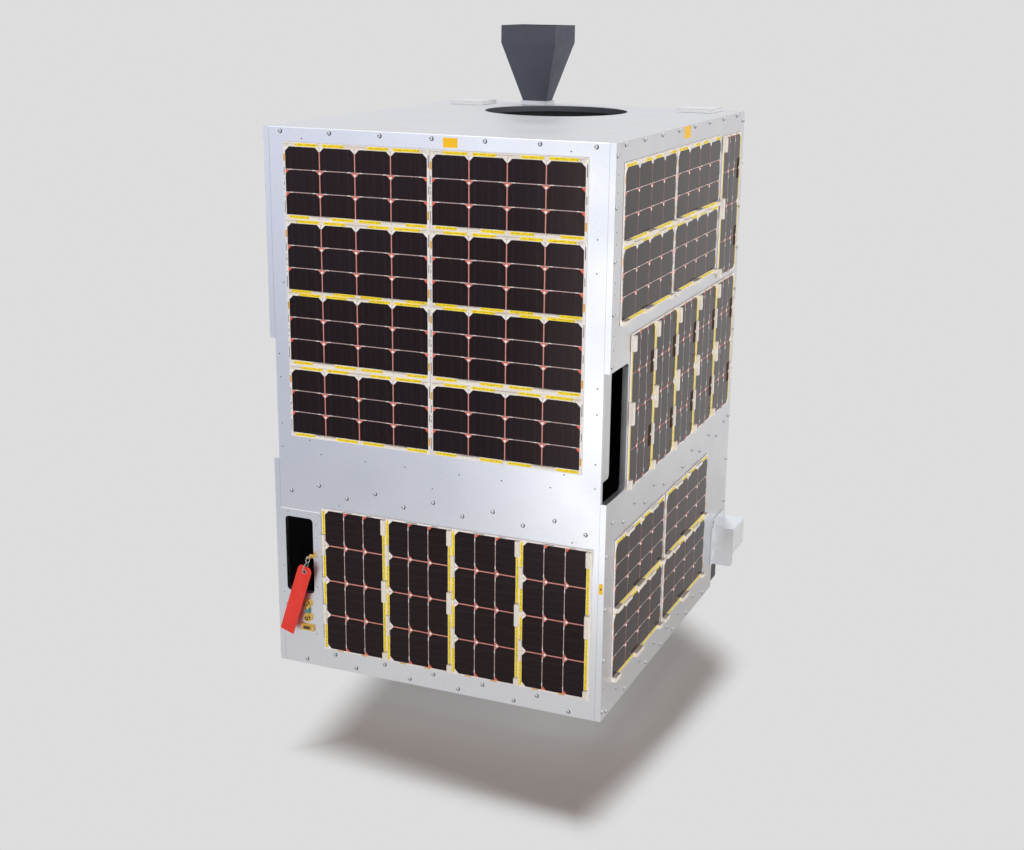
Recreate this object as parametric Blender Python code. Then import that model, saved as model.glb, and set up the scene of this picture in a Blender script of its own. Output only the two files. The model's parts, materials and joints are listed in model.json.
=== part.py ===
"""Box-bodied Earth-observation microsatellite with body-mounted solar modules, on its separation ring.

Metres, +Z up. The front, with the service window and the pull tag, faces -Y. The right side, with the
corner hood, faces +X. The origin is the centre of the separation ring's lower face.
"""

import math

import bmesh
import bpy
from mathutils import Matrix, Vector

# Clearances and helper sizes shared by every piece
SEAT = 0.0003
OVERRUN = 0.002
ROUND_STEPS = 8
CIRCLE_STEPS = 64

# Panels of the body box, whose overall sizes follow from the modules on its faces
SIDE_THICK = 0.011
FACE_THICK = 0.010

# Separation ring under the body
RING_HEIGHT = 0.060
RING_RADIUS = 0.190
RING_WALL = 0.008
RING_FLANGE = 0.016
RING_FLANGE_THICK = 0.008

# Decks and shelf between the panels
TOP_DECK_THICK = 0.012
SHELF_THICK = 0.038
SHELF_CENTRE_HEIGHT = 0.362
BASE_DECK_THICK = 0.041

# Telescope seen through the top deck
APERTURE_RADIUS = 0.1463
APERTURE_X = -0.009
APERTURE_REAR_MARGIN = 0.206
BARREL_WALL = 0.009
BARREL_REVEAL = 0.0015
LENS_DEPTH = 0.050
LENS_LEDGE = 0.010
LENS_THICK = 0.012
LENS_CROWN = 0.016
BARREL_FLOOR = 0.008
BARREL_WELL = 0.016
TELESCOPE_RADIUS = 0.135

# Horn antenna on its pedestal at the rear of the top deck
HORN_X = -0.111
HORN_REAR_MARGIN = 0.058
HORN_MOUTH_WIDTH = 0.123
HORN_MOUTH_DEPTH = 0.115
HORN_THROAT_WIDTH = 0.055
HORN_THROAT_DEPTH = 0.032
HORN_RIM_HEIGHT = 0.036
HORN_TAPER_HEIGHT = 0.121
HORN_WALL = 0.0025
HORN_THROAT_FLOOR = 0.020
PEDESTAL_HEIGHT = 0.0085
PEDESTAL_MARGIN = 0.004

# Square patch antennas on the top deck
PATCH_SIDE = 0.075
PATCH_THICK = 0.0065
PATCH_LEFT_MARGIN = 0.0925
PATCH_LEFT_REAR_MARGIN = 0.106
PATCH_RIGHT_MARGIN = 0.0755
PATCH_RIGHT_REAR_MARGIN = 0.073

# Slots through both side panels, open towards the front edge
SLOT_DEPTH = 0.097
SLOT_HEIGHT = 0.233
SLOT_SILL_HEIGHT = 0.413
SLOT_CORNER = 0.010
SLOT_BRACKET_REACH = 0.030
SLOT_BRACKET_THICK = 0.004
SLOT_BRACKET_HEIGHT = 0.196
SLOT_BRACKET_CORNER = 0.008

# Notch in the rear lower right corner, with the unit that fills it
NOTCH_DEPTH = 0.091
NOTCH_HEIGHT = 0.125
NOTCH_WIDTH = 0.090
UNIT_DEPTH = 0.045
UNIT_SIDE_SETBACK = 0.002
UNIT_FLOOR_HEIGHT = 0.010
UNIT_TOP_GAP = 0.006

# Bent sheet hood over the notch
HOOD_SHEET = 0.002
HOOD_REACH = 0.046
HOOD_DEPTH = 0.088
HOOD_FRONT_HEIGHT = 0.086
HOOD_OUTER_HEIGHT = 0.057
HOOD_SIDE_FLANGE = 0.014
HOOD_TOP_FLANGE = 0.018
HOOD_TOP_HEIGHT = 0.140
HOOD_CORNER = 0.008

# Solar cells and the boards that carry them. Margins are left, right, below and above the cells
CELL_LONG = 0.0690
CELL_SHORT = 0.0396
CELL_LONG_GAP = 0.0015
CELL_SHORT_GAP = 0.00105
CELL_THICK = 0.0003
BOARD_THICK = 0.0020
LANDSCAPE_MARGINS = (0.0045, 0.0045, 0.0085, 0.0085)
PORTRAIT_MARGINS = (0.0075, 0.0100, 0.0035, 0.0035)
LONG_COUNT = 4
SHORT_COUNT = 3

# Clamps that hold a module's board by its edges, with their stretches along the module's long side
CLAMP_INSET = 0.0005
TAB_WIDTH = 0.0090
TAB_HEIGHT = 0.0080
PAD_WIDTH = 0.0046
PAD_HEIGHT = 0.0045
TAB_SPANS = ((-0.0010, 0.0280), (0.1200, 0.1620), (0.2640, 0.2815))
STANDING_TAB_SPANS = ((-0.0010, 0.0160), (0.1180, 0.1610), (0.2520, 0.2815))
UPPER_PAD_SPANS = ((-0.0010, 0.0210), (0.1210, 0.1650), (0.2680, 0.2815))
LOWER_PAD_SPANS = ((0.0480, 0.0920), (0.1920, 0.2380))

# Margins of the cell fields on the front and back faces, and the gaps between them
FRONT_LEFT_MARGIN = 0.0453
FRONT_COLUMN_GAP = 0.0097
FRONT_RIGHT_MARGIN = 0.0510
FRONT_TOP_MARGIN = 0.0337
FRONT_ROW_GAPS = (0.0154, 0.0111, 0.0178)
FRONT_BAND = 0.1469
LOWER_BOTTOM_MARGIN = 0.0430
LOWER_LEFT_MARGIN = 0.1084
LOWER_GAP = 0.0141
LOWER_COUNT = 4

# Margins of the cell fields on the side faces, and the gaps between them
SIDE_FORE_MARGIN = 0.0458
SIDE_COLUMN_GAP = 0.0144
SIDE_CORNER_GAP = 0.0305
SIDE_AFT_MARGIN = 0.0354
SIDE_TOP_MARGIN = 0.0437
SIDE_UPPER_GAP = 0.0165
MIDDLE_TOP_GAP = 0.0378
MIDDLE_GAP = 0.0139
MIDDLE_COUNT = 5
SIDE_BAND = 0.0888
SIDE_LOWER_FORE_MARGIN = 0.0536
SIDE_LOWER_COLUMN_GAP = 0.0192
SIDE_LOWER_GAP = 0.0154

# Service plate on the front, with its window. Sockets and connector are placed from its lower edge
PLATE_LEFT_MARGIN = 0.0110
PLATE_WIDTH = 0.088
PLATE_TOP_HEIGHT = 0.3170
PLATE_HEIGHT = 0.254
PLATE_THICK = 0.002
PLATE_CORNER = 0.002
WINDOW_LEFT_MARGIN = 0.0105
WINDOW_TOP_MARGIN = 0.0155
WINDOW_WIDTH = 0.0597
WINDOW_HEIGHT = 0.1515
WINDOW_CORNER = 0.008
SOCKET_LEFT_MARGIN = 0.0555
SOCKET_HEIGHT = 0.0660
SOCKET_FLANGE_RADIUS = 0.0085
SOCKET_FLANGE_THICK = 0.005
SOCKET_PITCH = 0.0290
SOCKET_LINK_RADIUS = 0.0035
CONNECTOR_LEFT_MARGIN = 0.0535
CONNECTOR_HEIGHT = 0.0160
CONNECTOR_WIDTH = 0.030
CONNECTOR_TALL = 0.0125
CONNECTOR_THICK = 0.0045
CONNECTOR_SHELL_WIDTH = 0.017
CONNECTOR_SHELL_TALL = 0.008
CONNECTOR_SHELL_THICK = 0.0015

# Fitting at the window's edge: a bead on the plate with a pin that the clip hangs on
FITTING_DROP = 0.0883
BEAD_RADIUS = 0.0042
BEAD_LENGTH = 0.008
PIN_RADIUS = 0.0016
PIN_EDGE_INSET = 0.0026
PIN_END = 0.003

# Wire clip: a long upper loop round the pin, and a ring across it that goes through the tag's eye
WIRE_RADIUS = 0.0009
LOOP_RADIUS = 0.0036
LOOP_STRAIGHT = 0.006
RING_LOOP_RADIUS = 0.009
LOOP_LAP = 0.0008
SWING_CLEARANCE = 0.005
WIRE_STEPS = 8

# Pull tag of stiff cloth, leaning to the left as it rests
TAG_LEAN_DEG = 18.3
TAG_WIDTH = 0.0300
TAG_LENGTH = 0.148
TAG_THICK = 0.0015
TAG_SHOULDER_WIDTH = 0.006
TAG_SHOULDER_DROP = 0.009
TAG_EYE_RADIUS = 0.0032
TAG_EYE_DROP = 0.0115

# Sizes of the body box, and heights and edges, worked out from the sizes above
LONG_PITCH = CELL_LONG + CELL_LONG_GAP
SHORT_PITCH = CELL_SHORT + CELL_SHORT_GAP
FIELD_LONG = LONG_COUNT * LONG_PITCH - CELL_LONG_GAP
FIELD_SHORT = SHORT_COUNT * SHORT_PITCH - CELL_SHORT_GAP
BODY_WIDTH = FRONT_LEFT_MARGIN + 2 * FIELD_LONG + FRONT_COLUMN_GAP + FRONT_RIGHT_MARGIN
ROWS_HEIGHT = (len(FRONT_ROW_GAPS) + 1) * FIELD_SHORT + sum(FRONT_ROW_GAPS)
BODY_HEIGHT = FRONT_TOP_MARGIN + ROWS_HEIGHT + FRONT_BAND + FIELD_LONG + LOWER_BOTTOM_MARGIN
CORNER_START = SIDE_FORE_MARGIN + 2 * FIELD_LONG + SIDE_COLUMN_GAP + SIDE_CORNER_GAP
BODY_DEPTH = CORNER_START + FIELD_SHORT + SIDE_AFT_MARGIN
BASE_Z = RING_HEIGHT
TOP_Z = BASE_Z + BODY_HEIGHT
FRONT_Y = -BODY_DEPTH / 2
REAR_Y = BODY_DEPTH / 2
SIDE_X = BODY_WIDTH / 2
INNER_X = SIDE_X - SIDE_THICK - SEAT
INNER_Y = REAR_Y - FACE_THICK - SEAT
APERTURE_Y = REAR_Y - APERTURE_REAR_MARGIN
HORN_Y = REAR_Y - HORN_REAR_MARGIN
PLATE_LEFT = PLATE_LEFT_MARGIN - SIDE_X
PLATE_TOP_Z = BASE_Z + PLATE_TOP_HEIGHT
PLATE_LOW_Z = PLATE_TOP_Z - PLATE_HEIGHT
NOTCH_TOP_Z = BASE_Z + NOTCH_HEIGHT
NOTCH_FRONT_Y = REAR_Y - NOTCH_DEPTH


def clear_scene():
    for old in list(bpy.data.objects):
        bpy.data.objects.remove(old, do_unlink=True)


def finish_material(name, colour, roughness, metallic):
    made = bpy.data.materials.new(name)
    made.use_nodes = True
    shader = made.node_tree.nodes["Principled BSDF"]
    shader.inputs["Base Color"].default_value = (*colour, 1)
    shader.inputs["Roughness"].default_value = roughness
    shader.inputs["Metallic"].default_value = metallic
    made.diffuse_color = (*colour, 1)
    return made


def aluminium(name):
    return finish_material(name, (0.78, 0.79, 0.82), 0.35, 0.9)


def polished(name):
    return finish_material(name, (0.80, 0.81, 0.84), 0.15, 1)


def solar_black(name):
    return finish_material(name, (0.02, 0.014, 0.016), 0.2, 0)


def black_paint(name):
    return finish_material(name, (0.015, 0.016, 0.018), 0.5, 0)


def gold(name):
    return finish_material(name, (0.85, 0.62, 0.18), 0.3, 0.9)


def new_object(name, mesh, material):
    made = bpy.data.objects.new(name, mesh)
    made.data.materials.append(material(name + "_finish"))
    bpy.context.scene.collection.objects.link(made)
    return made


def object_from(name, shape, material):
    bmesh.ops.recalc_face_normals(shape, faces=shape.faces)
    mesh = bpy.data.meshes.new(name)
    shape.to_mesh(mesh)
    shape.free()
    return new_object(name, mesh, material)


def extruded(outline, start, end, axis):
    """A closed outline pushed from start to end along an axis, its points given along the other two."""
    place = {
        "X": lambda a, b, along: (along, a, b),
        "Y": lambda a, b, along: (a, along, b),
        "Z": lambda a, b, along: (a, b, along),
    }[axis]
    shape = bmesh.new()
    face = shape.faces.new([shape.verts.new(place(a, b, start)) for a, b in outline])
    pushed = bmesh.ops.extrude_face_region(shape, geom=[face])
    moved = [item for item in pushed["geom"] if isinstance(item, bmesh.types.BMVert)]
    bmesh.ops.translate(shape, verts=moved, vec=Vector(place(0, 0, end - start)))
    return shape


def block(low, high):
    """A box between two corners."""
    outline = [(low[0], low[1]), (high[0], low[1]), (high[0], high[1]), (low[0], high[1])]
    return extruded(outline, low[2], high[2], "Z")


def arc(centre, radius, start_deg, end_deg, steps=ROUND_STEPS):
    """Points of a round stretch, both ends included."""
    points = []
    for step in range(steps + 1):
        angle = math.radians(start_deg + (end_deg - start_deg) * step / steps)
        points.append((centre[0] + radius * math.cos(angle), centre[1] + radius * math.sin(angle)))
    return points


def rounded_rectangle(left, bottom, right, top, radius):
    return (
        arc((right - radius, bottom + radius), radius, -90, 0)
        + arc((right - radius, top - radius), radius, 0, 90)
        + arc((left + radius, top - radius), radius, 90, 180)
        + arc((left + radius, bottom + radius), radius, 180, 270)
    )


def turned(profile, centre, steps=CIRCLE_STEPS):
    """A closed profile of (radius, height) points turned about the vertical line through centre."""
    shape = bmesh.new()
    verts = [shape.verts.new((centre[0] + r, centre[1], z)) for r, z in profile]
    edges = [shape.edges.new((verts[i - 1], verts[i])) for i in range(len(verts))]
    bmesh.ops.spin(
        shape,
        geom=verts + edges,
        cent=(centre[0], centre[1], 0),
        axis=(0, 0, 1),
        angle=math.tau,
        steps=steps,
        use_merge=True,
    )
    bmesh.ops.remove_doubles(shape, verts=shape.verts, dist=SEAT / 10)
    return shape


def shade_round(made):
    made.data.shade_smooth()
    made.data.set_sharp_from_angle(angle=math.radians(30))


def cut(made, cutter_shape, name):
    """Cuts a shape out of an object, keeping the cutter as a wire guide."""
    cutter = object_from(name, cutter_shape, black_paint)
    cutter.hide_render = True
    cutter.display_type = "WIRE"
    modifier = made.modifiers.new(name, "BOOLEAN")
    modifier.operation = "DIFFERENCE"
    modifier.solver = "EXACT"
    modifier.object = cutter


def fused(name, shapes, material):
    """One body from overlapping shapes, by EXACT unions on the first of them."""
    made = object_from(name, shapes[0], material)
    for number, shape in enumerate(shapes[1:]):
        guide = object_from(f"{name}_with_{number}", shape, material)
        guide.hide_render = True
        guide.display_type = "WIRE"
        modifier = made.modifiers.new(f"with_{number}", "BOOLEAN")
        modifier.operation = "UNION"
        modifier.solver = "EXACT"
        modifier.object = guide
    return made


def side_outline(with_notch):
    """Outline of a side panel in depth and height, with its slot and, on the right, its notch."""
    slot_low = BASE_Z + SLOT_SILL_HEIGHT
    slot_high = slot_low + SLOT_HEIGHT
    slot_back = FRONT_Y + SLOT_DEPTH
    outline = [(FRONT_Y, BASE_Z)]
    if with_notch:
        outline += [(NOTCH_FRONT_Y, BASE_Z), (NOTCH_FRONT_Y, NOTCH_TOP_Z), (REAR_Y, NOTCH_TOP_Z)]
    else:
        outline += [(REAR_Y, BASE_Z)]
    outline += [(REAR_Y, TOP_Z), (FRONT_Y, TOP_Z), (FRONT_Y, slot_high)]
    outline += arc((slot_back - SLOT_CORNER, slot_high - SLOT_CORNER), SLOT_CORNER, 90, 0)
    outline += arc((slot_back - SLOT_CORNER, slot_low + SLOT_CORNER), SLOT_CORNER, 0, -90)
    outline += [(FRONT_Y, slot_low)]
    return outline


def make_side_panels():
    right = extruded(side_outline(True), SIDE_X - SIDE_THICK, SIDE_X, "X")
    object_from("right_side_panel", right, aluminium)
    left = extruded(side_outline(False), -SIDE_X, SIDE_THICK - SIDE_X, "X")
    object_from("left_side_panel", left, aluminium)


def window_outline(margin):
    left = PLATE_LEFT + WINDOW_LEFT_MARGIN
    top = PLATE_TOP_Z - WINDOW_TOP_MARGIN
    return rounded_rectangle(
        left - margin,
        top - WINDOW_HEIGHT - margin,
        left + WINDOW_WIDTH + margin,
        top + margin,
        WINDOW_CORNER + margin,
    )


def make_front_and_back():
    front = object_from(
        "front_panel",
        block((-INNER_X, FRONT_Y, BASE_Z), (INNER_X, FRONT_Y + FACE_THICK, TOP_Z)),
        aluminium,
    )
    window = extruded(window_outline(SEAT), FRONT_Y - OVERRUN, FRONT_Y + FACE_THICK + OVERRUN, "Y")
    cut(front, window, "front_window_cutter")
    notch_left = SIDE_X - NOTCH_WIDTH
    back = [
        (-INNER_X, BASE_Z),
        (notch_left, BASE_Z),
        (notch_left, NOTCH_TOP_Z),
        (INNER_X, NOTCH_TOP_Z),
        (INNER_X, TOP_Z),
        (-INNER_X, TOP_Z),
    ]
    object_from("back_panel", extruded(back, REAR_Y - FACE_THICK, REAR_Y, "Y"), aluminium)


def make_decks():
    deck = object_from(
        "top_deck",
        block((-INNER_X, -INNER_Y, TOP_Z - TOP_DECK_THICK), (INNER_X, INNER_Y, TOP_Z)),
        aluminium,
    )
    aperture = extruded(
        arc((APERTURE_X, APERTURE_Y), APERTURE_RADIUS, 0, 360, CIRCLE_STEPS)[:-1],
        TOP_Z - TOP_DECK_THICK - OVERRUN,
        TOP_Z + OVERRUN,
        "Z",
    )
    cut(deck, aperture, "aperture_cutter")
    shelf_low = BASE_Z + SHELF_CENTRE_HEIGHT - SHELF_THICK / 2
    object_from(
        "mid_shelf",
        block((-INNER_X, -INNER_Y, shelf_low), (INNER_X, INNER_Y, shelf_low + SHELF_THICK)),
        aluminium,
    )
    notch_left = SIDE_X - NOTCH_WIDTH
    outline = [
        (-INNER_X, -INNER_Y),
        (INNER_X, -INNER_Y),
        (INNER_X, NOTCH_FRONT_Y),
        (notch_left, NOTCH_FRONT_Y),
        (notch_left, INNER_Y),
        (-INNER_X, INNER_Y),
    ]
    object_from("base_deck", extruded(outline, BASE_Z, BASE_Z + BASE_DECK_THICK, "Z"), aluminium)


def make_ring():
    """Separation ring: a round wall between an upper and a lower flange, both turned outwards."""
    inner = RING_RADIUS - RING_WALL
    outer = RING_RADIUS + RING_FLANGE
    top = RING_HEIGHT - SEAT
    profile = [
        (inner, 0),
        (outer, 0),
        (outer, RING_FLANGE_THICK),
        (RING_RADIUS, RING_FLANGE_THICK),
        (RING_RADIUS, top - RING_FLANGE_THICK),
        (outer, top - RING_FLANGE_THICK),
        (outer, top),
        (inner, top),
    ]
    shade_round(object_from("separation_ring", turned(profile, (0, 0)), aluminium))


def make_telescope():
    centre = (APERTURE_X, APERTURE_Y)
    top = TOP_Z - TOP_DECK_THICK - SEAT
    inner = APERTURE_RADIUS + BARREL_REVEAL
    outer = inner + BARREL_WALL
    ledge = top - LENS_DEPTH
    well = ledge - BARREL_WELL
    profile = [
        (0, well - BARREL_FLOOR),
        (outer, well - BARREL_FLOOR),
        (outer, top),
        (inner, top),
        (inner, ledge),
        (inner - LENS_LEDGE, ledge),
        (inner - LENS_LEDGE, well),
        (0, well),
    ]
    shade_round(object_from("telescope_barrel", turned(profile, centre), black_paint))
    lens_edge = inner - SEAT
    lens_low = ledge + SEAT
    crown_radius = (lens_edge**2 + LENS_CROWN**2) / (2 * LENS_CROWN)
    crown_centre = lens_low + LENS_THICK + LENS_CROWN - crown_radius
    half_angle = math.degrees(math.asin(lens_edge / crown_radius))
    crown = arc((0, crown_centre), crown_radius, 90 - half_angle, 90)
    lens = [(0, lens_low), (lens_edge, lens_low)] + crown
    shade_round(object_from("objective_lens", turned(lens, centre), glass))
    shelf_top = BASE_Z + SHELF_CENTRE_HEIGHT + SHELF_THICK / 2
    body = [
        (0, shelf_top + SEAT),
        (TELESCOPE_RADIUS, shelf_top + SEAT),
        (TELESCOPE_RADIUS, well - BARREL_FLOOR - SEAT),
        (0, well - BARREL_FLOOR - SEAT),
    ]
    shade_round(object_from("telescope_body", turned(body, centre), black_paint))


def glass(name):
    return finish_material(name, (0.02, 0.03, 0.06), 0.05, 0)


def square_tube(sections, centre):
    """A solid lofted through level rectangles, given as (half width, half depth, height)."""
    shape = bmesh.new()
    rings = []
    for half_x, half_y, z in sections:
        corners = [(-half_x, -half_y), (half_x, -half_y), (half_x, half_y), (-half_x, half_y)]
        rings.append([shape.verts.new((centre[0] + x, centre[1] + y, z)) for x, y in corners])
    for low, high in zip(rings, rings[1:]):
        for i in range(len(low)):
            shape.faces.new((low[i - 1], low[i], high[i], high[i - 1]))
    shape.faces.new(rings[0][::-1])
    shape.faces.new(rings[-1])
    return shape


def make_horn():
    """Flared square horn: a funnel with an upright rim, open at the top, on a flat pedestal."""
    centre = (HORN_X, HORN_Y)
    foot = TOP_Z + SEAT
    throat = foot + PEDESTAL_HEIGHT + SEAT
    rim_low = throat + HORN_TAPER_HEIGHT
    rim_top = rim_low + HORN_RIM_HEIGHT
    mouth = (HORN_MOUTH_WIDTH / 2, HORN_MOUTH_DEPTH / 2)
    neck = (HORN_THROAT_WIDTH / 2, HORN_THROAT_DEPTH / 2)
    floor_share = HORN_THROAT_FLOOR / HORN_TAPER_HEIGHT
    floor = [n + (m - n) * floor_share - HORN_WALL for n, m in zip(neck, mouth)]
    sections = [
        (*neck, throat),
        (*mouth, rim_low),
        (*mouth, rim_top),
        (mouth[0] - HORN_WALL, mouth[1] - HORN_WALL, rim_top),
        (mouth[0] - HORN_WALL, mouth[1] - HORN_WALL, rim_low),
        (*floor, throat + HORN_THROAT_FLOOR),
    ]
    object_from("horn_antenna", square_tube(sections, centre), black_paint)
    reach = [half + PEDESTAL_MARGIN for half in neck]
    low = (HORN_X - reach[0], HORN_Y - reach[1], foot)
    high = (HORN_X + reach[0], HORN_Y + reach[1], foot + PEDESTAL_HEIGHT)
    object_from("horn_pedestal", block(low, high), aluminium)


def make_patch_antennas():
    places = (
        ("patch_antenna_left", PATCH_LEFT_MARGIN - SIDE_X, REAR_Y - PATCH_LEFT_REAR_MARGIN),
        ("patch_antenna_right", SIDE_X - PATCH_RIGHT_MARGIN, REAR_Y - PATCH_RIGHT_REAR_MARGIN),
    )
    half = PATCH_SIDE / 2
    for name, x, y in places:
        low = (x - half, y - half, TOP_Z + SEAT)
        high = (x + half, y + half, TOP_Z + SEAT + PATCH_THICK)
        object_from(name, block(low, high), white_laminate)


def white_laminate(name):
    return finish_material(name, (0.8, 0.8, 0.78), 0.5, 0)


def make_slot_brackets():
    """The plate behind each slot that stiffens the front panel's edge."""
    top = BASE_Z + SLOT_SILL_HEIGHT + SLOT_HEIGHT
    low = top - SLOT_BRACKET_HEIGHT
    near = FRONT_Y + FACE_THICK + SEAT
    far = near + SLOT_BRACKET_REACH
    outline = [(near, low)]
    outline += arc((far - SLOT_BRACKET_CORNER, low + SLOT_BRACKET_CORNER), SLOT_BRACKET_CORNER, -90, 0)
    outline += [(far, top), (near, top)]
    for name, side in (("right_slot_bracket", 1), ("left_slot_bracket", -1)):
        ends = sorted((side * INNER_X, side * (INNER_X - SLOT_BRACKET_THICK)))
        object_from(name, extruded(outline, *ends, "X"), polished)


def make_notch_unit():
    """The dark unit that fills the fore half of the notch, under the hood."""
    low = (SIDE_X - NOTCH_WIDTH + SEAT, NOTCH_FRONT_Y + SEAT, BASE_Z + UNIT_FLOOR_HEIGHT)
    high = (SIDE_X - UNIT_SIDE_SETBACK, low[1] + UNIT_DEPTH, NOTCH_TOP_Z - UNIT_TOP_GAP)
    object_from("notch_unit", block(low, high), black_paint)


def make_hood():
    """Bent sheet hood: flanges on the side panel, a front plate, a roof and an outer plate."""
    face = SIDE_X + SEAT
    out = face + HOOD_REACH
    top = BASE_Z + HOOD_TOP_HEIGHT
    low = top - HOOD_FRONT_HEIGHT
    front = NOTCH_FRONT_Y
    back = front + HOOD_DEPTH
    flange = block((face, front - HOOD_SIDE_FLANGE, low), (face + HOOD_SHEET, front + HOOD_SHEET, top))
    plate_outline = [(face, low)]
    plate_outline += arc((out - HOOD_CORNER, low + HOOD_CORNER), HOOD_CORNER, -90, 0)
    plate_outline += [(out, top), (face, top)]
    plate = extruded(plate_outline, front, front + HOOD_SHEET, "Y")
    roof = block((face, front, top - HOOD_SHEET), (out, back, top))
    outer = block((out - HOOD_SHEET, front, top - HOOD_OUTER_HEIGHT), (out, back, top))
    upper = block((face, front, top - HOOD_SHEET), (face + HOOD_SHEET, back, top + HOOD_TOP_FLANGE))
    fused("corner_hood", [flange, plate, roof, outer, upper], polished)


def cell_edges(u, v, landscape):
    """Left, right, lower and upper edge of each cell of a module that starts at u and reaches up to v."""
    across, down = (LONG_COUNT, SHORT_COUNT) if landscape else (SHORT_COUNT, LONG_COUNT)
    wide, tall = (CELL_LONG, CELL_SHORT) if landscape else (CELL_SHORT, CELL_LONG)
    u_pitch, v_pitch = (LONG_PITCH, SHORT_PITCH) if landscape else (SHORT_PITCH, LONG_PITCH)
    edges = []
    for column in range(across):
        for row in range(down):
            left = u + u_pitch * column
            top = v - v_pitch * row
            edges.append((left, left + wide, top - tall, top))
    return edges


def on_face(face, edges, start, end):
    """Corners in space of what lies between two heights over a face, named by where it looks."""
    left, right, low, high = edges
    if face in ("front", "back"):
        out = -1 if face == "front" else 1
        ys = sorted((out * (REAR_Y + start), out * (REAR_Y + end)))
        xs = sorted((-out * left, -out * right))
        return (xs[0], ys[0], low), (xs[1], ys[1], high)
    out = 1 if face == "right" else -1
    xs = sorted((out * (SIDE_X + start), out * (SIDE_X + end)))
    return (xs[0], left, low), (xs[1], right, high)


def clamps(face, u, v, landscape):
    """Edges and height of each clamp of a module: pads over both long sides, or tabs along one."""
    if landscape and face in ("front", "back"):
        upper = v + CLAMP_INSET
        lower = v - FIELD_SHORT - CLAMP_INSET
        above = [(u + start, u + end, upper, upper + PAD_WIDTH) for start, end in UPPER_PAD_SPANS]
        below = [(u + start, u + end, lower - PAD_WIDTH, lower) for start, end in LOWER_PAD_SPANS]
        return [(edges, PAD_HEIGHT) for edges in above + below]
    if landscape:
        lower = v - FIELD_SHORT - CLAMP_INSET
        return [((u + start, u + end, lower - TAB_WIDTH, lower), TAB_HEIGHT) for start, end in TAB_SPANS]
    if face in ("front", "back"):
        left = u + FIELD_SHORT + CLAMP_INSET
        foot = v - FIELD_LONG
        spans = [(foot + start, foot + end) for start, end in STANDING_TAB_SPANS]
    else:
        left = u - CLAMP_INSET - TAB_WIDTH
        spans = [(v - end, v - start) for start, end in TAB_SPANS]
    return [((left, left + TAB_WIDTH, low, high), TAB_HEIGHT) for low, high in spans]


def add_block(shape, face, edges, start, end):
    low, high = on_face(face, edges, start, end)
    size = Vector(high) - Vector(low)
    middle = (Vector(high) + Vector(low)) / 2
    matrix = Matrix.Translation(middle) @ Matrix.Diagonal((*size, 1))
    bmesh.ops.create_cube(shape, size=1, matrix=matrix)


def make_array(name, face, fields, landscape):
    """A group of modules on one face: their board, with a tile for each cell and with the clamps."""
    cells = [edges for u, v in fields for edges in cell_edges(u, v, landscape)]
    margins = LANDSCAPE_MARGINS if landscape else PORTRAIT_MARGINS
    board_edges = (
        min(edges[0] for edges in cells) - margins[0],
        max(edges[1] for edges in cells) + margins[1],
        min(edges[2] for edges in cells) - margins[2],
        max(edges[3] for edges in cells) + margins[3],
    )
    top = SEAT + BOARD_THICK
    board = block(*on_face(face, board_edges, SEAT, top))
    tiles = bmesh.new()
    for edges in cells:
        add_block(tiles, face, edges, top - BOARD_THICK / 2, top + CELL_THICK)
    for u, v in fields:
        for edges, height in clamps(face, u, v, landscape):
            add_block(tiles, face, edges, top - BOARD_THICK / 2, top + height)
    fused(name, [board, tiles], solar_black)


def rows_down(top, gaps):
    """Upper edges of the cell fields of landscape modules, stacked downwards with these gaps."""
    rows = [top]
    for gap in gaps:
        rows.append(rows[-1] - FIELD_SHORT - gap)
    return rows


def make_arrays():
    upper = rows_down(TOP_Z - FRONT_TOP_MARGIN, FRONT_ROW_GAPS)
    left = FRONT_LEFT_MARGIN - SIDE_X
    right = left + FIELD_LONG + FRONT_COLUMN_GAP
    lower_top = BASE_Z + LOWER_BOTTOM_MARGIN + FIELD_LONG
    first = LOWER_LEFT_MARGIN - SIDE_X
    lower = [(first + (FIELD_SHORT + LOWER_GAP) * n, lower_top) for n in range(LOWER_COUNT)]
    for face in ("front", "back"):
        make_array(f"{face}_array_left", face, [(left, v) for v in upper], True)
        make_array(f"{face}_array_right", face, [(right, v) for v in upper], True)
        make_array(f"{face}_array_lower", face, lower, False)
    top_rows = rows_down(TOP_Z - SIDE_TOP_MARGIN, [SIDE_UPPER_GAP])
    middle_top = top_rows[-1] - FIELD_SHORT - MIDDLE_TOP_GAP
    low_rows = rows_down(middle_top - FIELD_LONG - SIDE_BAND, [SIDE_LOWER_GAP])
    corner = FRONT_Y + CORNER_START
    middle = [(corner - (FIELD_SHORT + MIDDLE_GAP) * n, middle_top) for n in range(MIDDLE_COUNT)]
    fore = FRONT_Y + SIDE_FORE_MARGIN
    lower_fore = FRONT_Y + SIDE_LOWER_FORE_MARGIN
    columns = (
        ("upper_fore", fore, top_rows),
        ("upper_aft", fore + FIELD_LONG + SIDE_COLUMN_GAP, top_rows),
        ("lower_fore", lower_fore, low_rows),
        ("lower_aft", lower_fore + FIELD_LONG + SIDE_LOWER_COLUMN_GAP, low_rows),
    )
    for face in ("right", "left"):
        for name, u, rows in columns:
            make_array(f"{face}_array_{name}", face, [(u, v) for v in rows], True)
        make_array(f"{face}_array_corner", face, [(corner, top_rows[0])], False)
        make_array(f"{face}_array_middle", face, middle[::-1], False)


def make_service_plate():
    right = PLATE_LEFT + PLATE_WIDTH
    outline = rounded_rectangle(PLATE_LEFT, PLATE_LOW_Z, right, PLATE_TOP_Z, PLATE_CORNER)
    back = FRONT_Y - SEAT
    plate = object_from("service_plate", extruded(outline, back - PLATE_THICK, back, "Y"), aluminium)
    cutter = extruded(window_outline(0), back - PLATE_THICK - OVERRUN, back + OVERRUN, "Y")
    cut(plate, cutter, "plate_window_cutter")


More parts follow.
